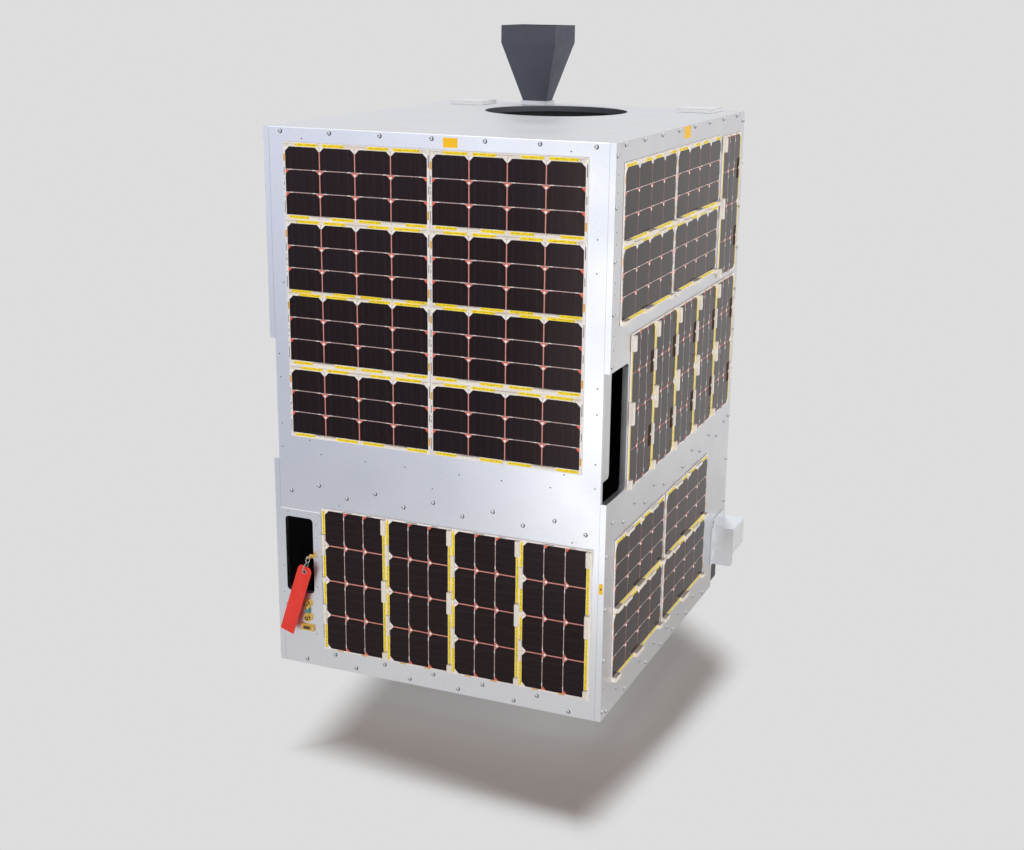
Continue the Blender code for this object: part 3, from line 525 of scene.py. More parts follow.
def laminate_finish():
    return plain_finish("white_laminate_finish", shade(232, 233, 235), 60, 0.04, 0.4, 0.5, 0.04, bump=0.02)


def gold_finish():
    return plain_finish("gold_plating_finish", colours().gold, 90, 0.2, 0.22, 0.4, 0.1, 1.0, 0.05)


def steel_finish():
    return plain_finish("wire_steel_finish", shade(205, 205, 206), 120, 0.2, 0.2, 0.34, 0.1, 1.0, 0.05)


def screw_finish():
    return plain_finish("screw_steel_finish", shade(222, 222, 225), 160, 0.2, 0.2, 0.34, 0.1, 0.9, 0.05)


def socket_finish():
    return plain_finish("socket_black_finish", (0.012, 0.012, 0.013, 1), 160, 0.2, 0.5, 0.7, 0.1)


def board_finish():
    return plain_finish("white_board_finish", colours().board, 70, 0.14, 0.45, 0.6, 0.22, bump=0.12)


def pad_finish():
    return plain_finish("potted_pad_finish", colours().pad, 150, 0.22, 0.35, 0.6, 0.3, bump=0.5)


def link_finish():
    return plain_finish("white_link_finish", shade(244, 240, 238), 150, 0.12, 0.3, 0.5, 0.2, bump=0.3)


def copper_finish():
    return plain_finish("copper_gap_finish", colours().copper, 180, 0.3, 0.3, 0.45, 0.3, bump=0.1)


def wedge_finish():
    return plain_finish("wedge_copper_finish", colours().wedge, 180, 0.2, 0.35, 0.5, 0.2, bump=0.1)


def silver_finish():
    return plain_finish("silver_link_finish", colours().silver, 180, 0.3, 0.25, 0.42, 0.3, 0.2, 0.1)


def amber_finish():
    return plain_finish("amber_tape_finish", colours().amber, 120, 0.25, 0.35, 0.5, 0.3, bump=0.1)


# Dark brown of the painted shade under the side modules' pads
def pad_shade_finish():
    tint = (0.060, 0.030, 0.016, 1)
    return plain_finish(
        "painted_pad_shade_finish", tint, 120, 0.25, 0.7, 0.8, 0.3, bump=0.1, Specular_IOR_Level=0.05
    )


def label_finish():
    return plain_finish("yellow_label_finish", colours().label, 90, 0.12, 0.35, 0.5, 0.15, bump=0.05)


def teal_finish():
    return plain_finish("teal_sleeve_finish", colours().teal, 120, 0.2, 0.4, 0.55, 0.2)


def tape_finish():
    """Yellow tape with pale edges and uneven dark marks along its middle."""
    name = "yellow_tape_finish"
    if name in bpy.data.materials:
        return bpy.data.materials[name]
    made, tree, shader = shader_material(name)
    place = node(tree, "ShaderNodeUVMap").outputs[0]
    split = node(tree, "ShaderNodeSeparateXYZ", {"Vector": place})
    off_middle = maths(tree, "ABSOLUTE", split.outputs["Y"])
    marks = node(tree, "ShaderNodeTexNoise", {"Vector": place, "Scale": 380.0, "Detail": 1})
    dark = maths(tree, "GREATER_THAN", marks.outputs["Fac"], 0.54)
    thin = maths(tree, "LESS_THAN", off_middle, TAPE_MARK_HALF)
    mask = maths(tree, "MULTIPLY", maths(tree, "MULTIPLY", dark, thin), 0.8)
    pale = maths(tree, "GREATER_THAN", off_middle, TAPE_YELLOW_HALF)
    edged = mixed(tree, pale, colours().tape, colours().pad)
    tint = mixed(tree, mask, edged, shade(70, 56, 16))
    effect = uneven(tree, tint, 110, 0.18, 0.35, 0.5, 0.25)
    tree.links.new(effect.outputs["Colour"], shader.inputs["Base Color"])
    tree.links.new(effect.outputs["Roughness"], shader.inputs["Roughness"])
    bumped(tree, shader, effect.outputs["Height"], 0.15, 0.0003)
    return made


def cell_finish():
    """Dark cell glass: each cell has its own tint, with fine fingers and faint streaks."""
    name = "cell_glass_finish"
    if name in bpy.data.materials:
        return bpy.data.materials[name]
    made, tree, shader = shader_material(
        name, IOR=1.47, Specular_IOR_Level=0.27, Specular_Tint=(1.0, 0.74, 0.74, 1)
    )
    tint = node(tree, "ShaderNodeAttribute", attribute_name="cell_tint").outputs["Fac"]
    base = mixed(tree, tint, colours().cell, colours().cell_cool)
    lines = {"Pitch": FINGER_PITCH, "Width Share": 0.10}
    fingers = node(tree, "ShaderNodeGroup", lines, node_tree=stripes_group())
    lined = mixed(tree, maths(tree, "MULTIPLY", fingers.outputs[0], 0.10), base, FINGER_TONE)
    flat_place = node(tree, "ShaderNodeUVMap").outputs[0]
    stretch = node(tree, "ShaderNodeMapping", {"Vector": flat_place, "Scale": STREAK_STRETCH})
    streaks = node(tree, "ShaderNodeTexNoise", {"Vector": stretch.outputs[0], "Scale": 1.0, "Detail": 3})
    streak = part_way(tree, streaks.outputs["Fac"], STREAK_SPAN)
    toned = mixed(tree, maths(tree, "MULTIPLY", streak, 0.5), lined, STREAK_TONE)
    tree.links.new(toned, shader.inputs["Base Color"])
    tree.links.new(ranged(tree, streaks.outputs["Fac"], *CELL_ROUGHNESS), shader.inputs["Roughness"])
    swell = node(tree, "ShaderNodeTexNoise", {"Vector": object_place(tree), "Scale": 16.0, "Detail": 1})
    bumped(tree, shader, swell.outputs["Fac"], 0.10, 0.002)
    return made


def lens_finish():
    """Coated glass: nearly black, with a painted blue reflection in its middle and a warm rim."""
    name = "coated_glass_finish"
    if name in bpy.data.materials:
        return bpy.data.materials[name]
    made, tree, shader = shader_material(
        name, Roughness=0.03, IOR=1.6, Coat_Weight=1.0, Coat_Roughness=0.02, Coat_Tint=(0.55, 0.7, 1.0, 1)
    )
    to_middle = (-HOLE_PLACE.x, -HOLE_PLACE.y, 0.0)
    place = node(tree, "ShaderNodeMapping", {"Vector": object_place(tree), "Location": to_middle})
    split = node(tree, "ShaderNodeSeparateXYZ", {"Vector": place.outputs[0]})
    squares = maths(tree, "ADD", maths(tree, "POWER", split.outputs["X"], 2.0),
                    maths(tree, "POWER", split.outputs["Y"], 2.0))
    reach = maths(tree, "SQRT", squares)
    noise = node(tree, "ShaderNodeTexNoise", {"Vector": object_place(tree), "Scale": 8.0, "Detail": 2})
    wavy = maths(tree, "ADD", reach, maths(tree, "MULTIPLY", noise.outputs["Fac"], 0.02))
    rim = part_way(tree, wavy, LENS_RIM)
    # Painted reflection: the blue middle stands for the coating's blue reflection, turning to a warm rim
    tint = mixed(tree, rim, LENS_BLUE_REFLECTION_TONE, LENS_RIM_TONE)
    tree.links.new(tint, shader.inputs["Base Color"])
    return made


def tag_finish():
    """Red woven webbing, with its weave on the tag's own UV map."""
    name = "red_cloth_finish"
    if name in bpy.data.materials:
        return bpy.data.materials[name]
    made, tree, shader = shader_material(name, Sheen_Weight=0.25, Sheen_Roughness=0.4)
    lines = {"Pitch": WEAVE_PITCH, "Width Share": 0.5}
    warp = node(tree, "ShaderNodeGroup", lines, node_tree=stripes_group())
    weft = node(tree, "ShaderNodeGroup", {**lines, "Turned": 1.0}, node_tree=stripes_group())
    crossing = maths(tree, "ABSOLUTE", maths(tree, "SUBTRACT", warp.outputs[0], weft.outputs[0]))
    woven = mixed(tree, maths(tree, "MULTIPLY", crossing, 0.22), colours().tag, shade(150, 22, 18))
    effect = uneven(tree, woven, 45, 0.2, 0.6, 0.8, 0.2)
    tree.links.new(effect.outputs["Colour"], shader.inputs["Base Color"])
    tree.links.new(effect.outputs["Roughness"], shader.inputs["Roughness"])
    bumped(tree, shader, crossing, 0.4, 0.0002)
    return made


# Modelling helpers, with how straight a run along an axis is, where a rod's top rim starts, and a touch

STRAIGHT = 0.99
RIM_SHARE = 0.9
DOME_ROUND_SHARE = 0.45
TOUCH = 0.01 * MM


def all_deselected():
    if bpy.context.mode != "OBJECT":
        bpy.ops.object.mode_set(mode="OBJECT")
    bpy.ops.object.select_all(action="DESELECT")


def placed(name):
    """The primitive that was just added, named, with its place and size put into its mesh."""
    made = bpy.context.object
    made.name = made.data.name = name
    bpy.ops.object.transform_apply(location=True, rotation=True, scale=True)
    return made


def block(name, low, high):
    """A box between two corners, as the start of a piece."""
    all_deselected()
    middle = (Vector(low) + Vector(high)) / 2
    bpy.ops.mesh.primitive_cube_add(size=1, location=middle)
    bpy.context.object.scale = Vector(high) - Vector(low)
    return placed(name)


TURNS = {"X": (0, math.pi / 2, 0), "Y": (math.pi / 2, 0, 0), "Z": (0, 0, 0)}


def disc(name, centre, radius, depth, axis="Z", sides=20):
    """A short rod about an axis, as the start of a round piece."""
    all_deselected()
    bpy.ops.mesh.primitive_cylinder_add(
        vertices=sides, radius=radius, depth=depth, location=centre, rotation=TURNS[axis]
    )
    return placed(name)


def picked(made, kind, test):
    """Edit mode on a piece with only the faces, edges or vertices that pass the test selected."""
    all_deselected()
    made.select_set(True)
    bpy.context.view_layer.objects.active = made
    bpy.ops.object.mode_set(mode="EDIT")
    bpy.ops.mesh.select_mode(type=kind)
    bpy.ops.mesh.select_all(action="DESELECT")
    shape = bmesh.from_edit_mesh(made.data)
    items = {"FACE": shape.faces, "EDGE": shape.edges, "VERT": shape.verts}[kind]
    for item in items:
        item.select_set(bool(test(item)))
    shape.select_flush_mode()
    bmesh.update_edit_mesh(made.data)


def edges_bevelled(made, test, width, segments=1):
    picked(made, "EDGE", test)
    bpy.ops.mesh.bevel(offset=width, segments=segments, affect="EDGES", clamp_overlap=True)
    bpy.ops.object.mode_set(mode="OBJECT")
    return made


def middle_of(edge):
    return (edge.verts[0].co + edge.verts[1].co) / 2


def runs_along(edge, axis):
    run = (edge.verts[1].co - edge.verts[0].co).normalized()
    return abs(run[axis]) > STRAIGHT


def rounded_block(name, low, high, corner, lip):
    """A box with round corners seen from its outer side, +Z, and a small round over on its top edges."""
    made = block(name, low, high)
    edges_bevelled(made, lambda edge: runs_along(edge, 2), corner, 3)
    if lip:
        top = high[2]
        edges_bevelled(made, lambda edge: min(v.co.z for v in edge.verts) > top - TOUCH, lip, 1)
    return made


def with_material(made, *finishes):
    made.data.materials.clear()
    for finish in finishes:
        made.data.materials.append(finish)
    return made


def inner_faces(made, test, slot):
    """The material slot of the faces that pass the test."""
    for face in made.data.polygons:
        if test(face):
            face.material_index = slot
    return made


def mapped(made, centre=(0, 0)):
    """A UV map in metres along a flat piece's own X and Y."""
    layer = made.data.uv_layers.new(name="UVMap") if not made.data.uv_layers else made.data.uv_layers[0]
    for loop in made.data.loops:
        place = made.data.vertices[loop.vertex_index].co
        layer.data[loop.index].uv = (place.x - centre[0], place.y - centre[1])
    return made


def joined(name, pieces):
    all_deselected()
    for piece in pieces:
        piece.select_set(True)
    bpy.context.view_layer.objects.active = pieces[0]
    if len(pieces) > 1:
        bpy.ops.object.join()
    made = bpy.context.object
    made.name = made.data.name = name
    return made


def copied(name, source, places):
    """One piece made of a copy of a modelled one for each place, mirrored ones turned right side out."""
    shape = bmesh.new()
    for place in places:
        copy = source.data.copy()
        copy.transform(place)
        if place.determinant() < 0:
            copy.flip_normals()
        shape.from_mesh(copy)
        bpy.data.meshes.remove(copy)
    mesh = bpy.data.meshes.new(name)
    shape.to_mesh(mesh)
    shape.free()
    for finish in source.data.materials:
        mesh.materials.append(finish)
    made = bpy.data.objects.new(name, mesh)
    bpy.context.scene.collection.objects.link(made)
    return made


def rounded_off(made, angle=35):
    all_deselected()
    made.select_set(True)
    bpy.context.view_layer.objects.active = made
    bpy.ops.object.shade_smooth_by_angle(angle=math.radians(angle))
    return made


def removed(*pieces):
    for piece in pieces:
        bpy.data.objects.remove(piece, do_unlink=True)


def finished(made, body, slot, *nodes):
    """The piece rides on its body and stands for the CAD nodes named, which are hidden; its slot is not used.
    """
    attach(made, body)
    if nodes:
        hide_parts(*nodes)
    return made


def face_matrix(face, along=0.0, up=0.0, out=0.0):
    """Where a face's own along, up and out lie, with the origin at the given place on its wall."""
    run, rise, away, wall = FACES[face]
    turned = Matrix((run, rise, away)).transposed().to_4x4()
    return Matrix.Translation(run * along + rise * up + away * (wall + out)) @ turned


def module_matrix(face, layout, start, top, out=BOARD_FACE):
    """Where a module's own axes lie: a standing one on the front or back has its cropped edge at the left."""
    if layout == "landscape":
        return face_matrix(face, start, top - FIELD_SHORT, out)
    if face in ("front", "back"):
        turned = Matrix.Rotation(math.pi / 2, 4, "Z")
        return face_matrix(face, start + FIELD_SHORT, top - FIELD_LONG, out) @ turned
    return face_matrix(face, start, top, out) @ Matrix.Rotation(-math.pi / 2, 4, "Z")


def module_places(row):
    _array, face, layout, starts, tops = row
    return [module_matrix(face, layout, start, top) for top in tops for start in starts]


# Solar arrays


def cell_model():
    """One cell with its two upper corners cropped, its lower left corner at the origin."""
    made = block("cell_model", (0, 0, 0), (CELL_LONG, CELL_SHORT, CELL_THICK))
    crop = sizes().cell_crop
    edges_bevelled(made, lambda e: runs_along(e, 2) and middle_of(e).y > CELL_SHORT / 2, crop)
    mapped(made)
    return with_material(made, cell_finish())


def cell_places():
    places = []
    for row in range(SHORT_COUNT):
        for column in range(LONG_COUNT):
            places.append(Matrix.Translation((column * LONG_PITCH, row * SHORT_PITCH, 0)))
    return places


def tinted(made, corners, seed):
    """Gives every cell of a joined piece its own tint, from 0 to 1."""
    draw = random.Random(seed)
    values = []
    for _cell in range(len(made.data.vertices) // corners):
        values += [draw.random() ** 1.6] * corners
    layer = made.data.attributes.new("cell_tint", "FLOAT", "POINT")
    layer.data.foreach_set("value", values)


def field_edges(row):
    """The left, right, lower and upper edges of all the cells of an array, along its face."""
    _array, _face, layout, starts, tops = row
    wide, tall = (FIELD_LONG, FIELD_SHORT) if layout == "landscape" else (FIELD_SHORT, FIELD_LONG)
    return min(starts), max(starts) + wide, min(tops) - tall, max(tops)


def clamp_blocks(face, layout):
    """The clamps on a module's edges, in its own axes: start, end, lower and upper edge, and height."""
    if layout == "landscape" and face in ("front", "back"):
        upper, lower = FIELD_SHORT / MM + CLAMP_INSET, -CLAMP_INSET - PAD_WIDTH
        blocks = [(start, end, upper, upper + PAD_WIDTH, PAD_HEIGHT) for start, end in UPPER_PAD_SPANS]
        blocks += [(start, end, lower, -CLAMP_INSET, PAD_HEIGHT) for start, end in LOWER_PAD_SPANS]
        return blocks
    spans = STANDING_TAB_SPANS if face in ("front", "back") else TAB_SPANS
    return [(start, end, -CLAMP_INSET - TAB_WIDTH, -CLAMP_INSET, TAB_HEIGHT) for start, end in spans]


def clamp_model(face, layout):
    """All the clamps of one module, potted in white, their screws sunk in the middle."""
    pieces = []
    for start, end, low, high, height in clamp_blocks(face, layout):
        pieces.append(rounded_block(
            "clamp", (start * MM, low * MM, -CLAMP_ROOT), (end * MM, high * MM, height * MM),
            CLAMP_CORNER, CLAMP_LIP,
        ))
    return with_material(joined("clamps", pieces), pad_finish())


class SATELLITE_OT_boards(bpy.types.Operator):
    """White boards that carry the cells, with softened edges and the clamps that hold them"""

    bl_idname = "satellite.boards"
    bl_label = "Module boards"

    def execute(self, context):
        for row in ARRAYS:
            array, face, layout = row[:3]
            left, right, low, high = field_edges(row)
            margins = LANDSCAPE_MARGINS if layout == "landscape" else PORTRAIT_MARGINS
            board = block(
                array + "_board",
                (left - margins[0] * MM, low - margins[2] * MM, BOARD_SEAT),
                (right + margins[1] * MM, high + margins[3] * MM, BOARD_FACE),
            )
            edges_bevelled(board, lambda edge: True, BOARD_EDGE)
            board.data.transform(face_matrix(face))
            if face_matrix(face).determinant() < 0:
                board.data.flip_normals()
            with_material(board, board_finish())
            model = clamp_model(face, layout)
            clamps = copied(array + "_clamps", model, module_places(row))
            removed(model)
            finished(joined(array + "_board", [board, clamps]), "body", "solar_cells", array)
        return {"FINISHED"}


class SATELLITE_OT_cells(bpy.types.Operator):
    """Cropped solar cells, four by three on each module"""

    bl_idname = "satellite.cells"
    bl_label = "Solar cells"

    def execute(self, context):
        model = cell_model()
        corners = len(model.data.vertices)
        for index, row in enumerate(ARRAYS):
            places = [module @ cell for module in module_places(row) for cell in cell_places()]
            made = copied(row[0] + "_cells", model, places)
            tinted(made, corners, SEED + index)
            finished(made, "body", "solar_cells")
        removed(model)
        return {"FINISHED"}


def pointed_down(name, left, right, tip, top, drop, thick):
    """A flat triangle under a line, its two upper corners and its tip given along the line."""
    made = block(name, (left, top - drop, 0), (right, top, thick))
    picked(made, "VERT", lambda vert: vert.co.y < top - drop / 2)
    bpy.ops.transform.resize(value=(WEDGE_TIP_SHARE, 1, 1), center_override=(tip, 0, 0))
    bpy.ops.object.mode_set(mode="OBJECT")
    return made


def dome(name, centre, radius, height, sides=12):
    made = disc(name, (centre[0], centre[1], height / 2), radius, height, "Z", sides)
    rim = height * RIM_SHARE
    edges_bevelled(made, lambda edge: min(v.co.z for v in edge.verts) > rim, height * DOME_ROUND_SHARE, 2)
    return rounded_off(made, 50)


def junction_columns():
    """The middle of each gap between columns, with the field's two ends."""
    gap = LONG_PITCH - CELL_LONG
    return [column * LONG_PITCH - gap / 2 for column in range(LONG_COUNT + 1)]


def row_tops():
    return [row * SHORT_PITCH + CELL_SHORT for row in range(SHORT_COUNT)]


def row_lines():
    """The heights of the lines between the rows of cells."""
    gap = SHORT_PITCH - CELL_SHORT
    return [row * SHORT_PITCH - gap / 2 for row in range(1, SHORT_COUNT)]


def line_block(name, middle, half, low, high, thick, upright, finish):
    """A thin line, upright or level, about its middle."""
    if upright:
        made = block(name, (middle - half, low, 0), (middle + half, high, thick))
    else:
        made = block(name, (low, middle - half, 0), (high, middle + half, thick))
    return with_material(made, finish)


def cell_links(copper_half):
    """What joins a module's cells: copper lines, silver lines, link pads, and wedges with their dots."""
    drop = sizes().cell_crop
    pieces = []
    for middle in junction_columns()[1:-1]:
        for name, half, thick, finish in (
            ("copper_line", copper_half, LINE_THICK, copper_finish()),
            ("copper_core", copper_half * CORE_SHARE, LINE_THICK + CORE_RISE, silver_finish()),
        ):
            pieces.append(line_block(name, middle, half, 0, FIELD_SHORT, thick, True, finish))
    for height in row_lines():
        pieces.append(line_block(
            "silver_line", height, SILVER_HALF, 0, FIELD_LONG, LINE_THICK, False, silver_finish()
        ))
    link_model = rounded_block(
        "link_pad", (-LINK_LONG / 2, -LINK_WIDE / 2, 0), (LINK_LONG / 2, LINK_WIDE / 2, sizes().link_thick),
        LINK_CORNER, LINK_LIP,
    )
    with_material(link_model, link_finish())
    links = []
    for height in row_lines():
        for column in range(LONG_COUNT):
            for share in LINK_SHARES:
                links.append(Matrix.Translation((column * LONG_PITCH + share * CELL_LONG, height, 0)))
    pieces.append(copied("link_pads", link_model, links))
    removed(link_model)
    columns = junction_columns()
    for index, top in enumerate(row_tops()):
        outer = index == SHORT_COUNT - 1
        finish = link_finish() if outer else wedge_finish()
        for middle in columns[1:-1]:
            wedge = pointed_down("crop_wedge", middle - drop, middle + drop, middle, top, drop, WEDGE_THICK)
            pieces.append(with_material(wedge, finish))
        for edge, inward in ((0, drop), (FIELD_LONG, -drop)):
            ends = sorted((edge, edge + inward))
            wedge = pointed_down("half_wedge", ends[0], ends[1], edge, top, drop, WEDGE_THICK)
            pieces.append(with_material(wedge, finish))
        for middle in columns[1:-1]:
            dot = dome("junction_dot", (middle, top - DOT_DROP), DOT_RADIUS, DOT_HEIGHT)
            pieces.append(with_material(dot, link_finish()))
            if outer:
                wide, tall = DOT_RADIUS * DOT_HOLE_SHARE, DOT_HEIGHT + DOT_HOLE_RISE
                hole = dome("junction_hole", (middle, top - DOT_DROP), wide, tall, 8)
                pieces.append(with_material(hole, socket_finish()))
    return pieces


def tape_row(tapes, low, tall):
    """A row of yellow tapes from a lower edge up, each with its own map for its broken line."""
    pieces = []
    for start, end in tapes:
        tape = block("strip_tape", (start * MM, low, 0), (end * MM, low + tall, sizes().tape_thick))
        edges_bevelled(tape, lambda edge: runs_along(edge, 2), TAPE_CORNER)
        mapped(tape, (0, low + tall / 2))
        pieces.append(with_material(tape, tape_finish()))
    return pieces


def small_pads(spans, low, tall, height):
    pieces = []
    for start, end in spans:
        pad = rounded_block(
            "strip_pad", (start * MM, low, 0), (end * MM, low + tall, height), STRIP_PAD_CORNER, STRIP_PAD_LIP
        )
        pieces.append(with_material(pad, pad_finish()))
    return pieces


def strip_screws(places, across, height):
    """Small dark screws sunk in the clamps and pads: their places along a line and across, in millimetres."""
    pieces = []
    for along in places:
        made = dome("strip_screw", (along * MM, across * MM), STRIP_SCREW_RADIUS, height, 10)
        pieces.append(with_material(made, socket_finish()))
    return pieces


def edge_marks(patches, dashes):
    """Amber patches and black dashes on the board's own edges: left, low, right and high in millimetres."""
    pieces = []
    kinds = ((patches, AMBER_THICK, amber_finish()), (dashes, DASH_THICK, socket_finish()))
    for marks, height, finish in kinds:
        for mark in marks:
            left, low, right, high = [edge * MM for edge in mark]
            pieces.append(with_material(block("edge_mark", (left, low, 0), (right, high, height)), finish))
    return pieces


def level_dressing(above, below):
    """Strips of a front landscape module, as tall as the gaps above and below its cells allow."""
    foot = FIELD_SHORT + STRIP_OFFSET
    pieces = tape_row(LEVEL_UPPER_TAPES, foot, above - STRIP_OFFSET)
    pieces += tape_row(LEVEL_LOWER_TAPES, -below, below - STRIP_OFFSET)
    pieces += small_pads(LEVEL_UPPER_SMALL, foot, above - STRIP_OFFSET, sizes().pad_thick)
    pieces += small_pads(LEVEL_LOWER_SMALL, -below, below - STRIP_OFFSET, sizes().pad_thick)
    screw_top = (PAD_HEIGHT + STRIP_SCREW_RISE) * MM
    pieces += strip_screws(LEVEL_UPPER_SCREWS, FIELD_SHORT / MM + LEVEL_UPPER_LINE, screw_top)
    pieces += strip_screws(LEVEL_LOWER_SCREWS, LEVEL_LOWER_LINE, screw_top)
    pieces += edge_marks(LEVEL_PATCHES, LEVEL_DASHES)
    return pieces


def tabbed_dressing(face, layout):
    """Strips of a module with tabs along one long edge: pads and tapes along the other."""
    spans = STANDING_TAB_SPANS if face in ("front", "back") else TAB_SPANS
    tapes = [(low[1] + TAPE_CLEARANCE, high[0] - TAPE_CLEARANCE) for low, high in zip(spans, spans[1:])]
    pieces = tape_row(tapes, -LOWER_TAPE - STRIP_OFFSET, LOWER_TAPE)
    pieces += tape_row(TABBED_UPPER_TAPES, FIELD_SHORT + STRIP_OFFSET, UPPER_TAPE)
    pieces += small_pads(TABBED_UPPER_PADS, FIELD_SHORT + STRIP_OFFSET, UPPER_PAD_WIDE, UPPER_PAD_TALL)
    screw_line = FIELD_SHORT / MM + TABBED_UPPER_LINE
    pieces += strip_screws(TABBED_UPPER_SCREWS, screw_line, UPPER_PAD_TALL + STRIP_SCREW_RISE * MM)
    if layout == "landscape":
        pieces += edge_marks(LEVEL_PATCHES, LEVEL_DASHES)
    else:
        pieces += edge_marks(STANDING_PATCHES, STANDING_DASHES)
    # Painted shade: dark brown patches on the cells under the upper pads stand for the raised pads' shaded
    # sides
    if layout == "portrait" and face in ("right", "left"):
        for start, end in PAD_SHADE_SPANS:
            tape = block("brown_tape", (start * MM, FIELD_SHORT - PAD_SHADE_WIDE, CELL_THICK / 2),
                         (end * MM, FIELD_SHORT - STRIP_OFFSET, LINE_THICK + 2 * CORE_RISE))
            pieces.append(with_material(tape, pad_shade_finish()))
    return pieces


class SATELLITE_OT_links(bpy.types.Operator):
    """Links between cells, and the tapes, pads and screws on each module's edges"""

    bl_idname = "satellite.links"
    bl_label = "Cell links and edge strips"

    def execute(self, context):
        wide = joined("link_model", cell_links(COPPER_HALF))
        narrow = joined("side_link_model", cell_links(SIDE_COPPER_HALF))
        for row in ARRAYS:
            array, face, layout = row[:3]
            common = wide if face in ("front", "back") else narrow
            pieces = [copied(array + "_links", common, module_places(row))]
            if layout == "landscape" and face in ("front", "back"):
                for number, place in enumerate(module_places(row)):
                    above, below = STRIP_HEIGHTS[number]
                    model = joined("strip_model", level_dressing(above * MM, below * MM))
                    pieces.append(copied(array + "_strips", model, [place]))
                    removed(model)
            else:
                model = joined("strip_model", tabbed_dressing(face, layout))
                pieces.append(copied(array + "_strips", model, module_places(row)))
                removed(model)
            finished(joined(array + "_links", pieces), "body", "solar_cells")
        removed(wide, narrow)
        return {"FINISHED"}


# Finishes of the frame's own pieces

FRAME_FINISHES = (
    (("front_panel", "back_panel", "right_side_panel", "left_side_panel", "service_plate"), panel_finish),
    (("top_deck", "base_deck", "horn_pedestal"), deck_finish),
    (("right_slot_bracket", "left_slot_bracket"), bracket_finish),
    (("mid_shelf", "telescope_body", "notch_unit"), black_finish),
    (("telescope_barrel",), barrel_finish),
    (("horn_antenna",), horn_finish),
    (("separation_ring",), ring_finish),
    (("corner_hood",), hood_finish),
    (("objective_lens",), lens_finish),
    (("patch_antenna_left", "patch_antenna_right"), laminate_finish),
    (("key_sockets", "data_connector", "gold_fitting"), gold_finish),
    (("tag_clip",), steel_finish),
)


class SATELLITE_OT_finishes(bpy.types.Operator):
    """Finishes of the pieces whose shape the frame already has"""

    bl_idname = "satellite.finishes"
    bl_label = "Frame finishes"

    def execute(self, context):
        for names, finish in FRAME_FINISHES:
            for name in names:
                for slot in frame["nodes"][name].material_slots:
                    slot.material = finish()
        return {"FINISHED"}


# Screws and threaded inserts, in millimetres. Front places are across and up; side places are along and up

FRONT_SCREWS = (
    [(-299 + 99.6 * i, 1085.0) for i in range(7)]
    + [(-238 + 118.8 * i, 430.8) for i in range(5)]
    + [(-298 + 118.8 * i, 413.4) for i in range(6)]
    + [(-166, 71), (-51, 71), (50, 70.5), (163, 69.5), (271, 69)]
    + [(-211, 91), (-104, 90.5), (-1, 90), (100, 88.5), (209, 88), (-274, 71)]
)
FRONT_INSERTS = (
    [(-255, 1073), (255, 1075), (305, 933), (305, 876), (-300, 812), (312, 679), (312, 633), (312, 544)]
    + [(312, 500), (-315, 677), (-313, 633), (-313, 544), (-314, 498), (-255, 517), (-231, 492)]
    + [(-138, 490), (-56, 491), (53, 491), (-1, 457), (136, 491), (229, 491), (254, 518), (-195, 396)]
    + [(272, 395)]
)
SIDE_SCREWS = (
    [(-358 + 100 * i, 1086.6) for i in range(8)]
    + [(392, z) for z in (1073, 985, 896, 808, 719, 630, 542, 435, 336, 238)]
    + [(-397, z) for z in (1072, 987, 898, 808, 718, 376, 276, 178, 78)]
    + [(y, 431) for y in (-370, -248, -132, 118, 239, 359)]
    + [(y, 413) for y in (-309, -188, -68, 55, 175, 301)]
    + [(y, 91) for y in (-319, -186, -95, -12, 68, 169)]
    + [(y, 70) for y in (-376, -273, -146, -51, 30, 125, 247)]
)
SIDE_INSERTS = [(-391, z) for z in (1040, 1010, 945, 925, 860, 840, 770, 745, 330, 225, 120)] + [
    (386, z) for z in (1030, 940, 850, 765, 675, 585, 490, 385, 290)
]
PLATE_SCREWS = (
    [(-245.2, z) for z in (352, 327, 310, 288, 267, 249, 226, 203)]
    + [(-318.8, z) for z in (316, 259, 204)]
    + [(-315, 181), (-305, 370.5), (-259, 370.5), (-239, 370.5), (-249, 128)]
)
HOOD_SCREWS = ((307, 192), (307, 158), (307, 124), (309, 211), (349, 211), (391, 211))
WALL_SPOTS = (
    ("front", FRONT_SCREWS, FRONT_INSERTS), ("back", FRONT_SCREWS, FRONT_INSERTS),
    ("right", SIDE_SCREWS, SIDE_INSERTS), ("left", SIDE_SCREWS, SIDE_INSERTS),
)
PLATE_FACE = 2.3 * MM
HOOD_FACE = 2.3 * MM
# Painted shadow: a dark disc under each screw head, set off down and to one side, stands for the shadow the
# head casts
SHADOW_DISC_PLACE = (0.5 * MM, -0.7 * MM)
SHADOW_DISC_THICK = 0.2 * MM
SHADOW_DISC_SHARE = 1.22
SMALL_SCREW = (1.7 * MM, 1.1 * MM)
INSERT_HEIGHT = 0.35 * MM

# A head's round over and socket, as shares of its height or radius, and where the socket's own faces are
HEAD_ROUND_SHARE = 0.3
SOCKET_INSET_SHARE = 0.32
SOCKET_DEPTH_SHARE = 0.6
SOCKET_REACH_SHARE = 0.55
SOCKET_LOW_SHARE = 0.1
SOCKET_HIGH_SHARE = 0.85


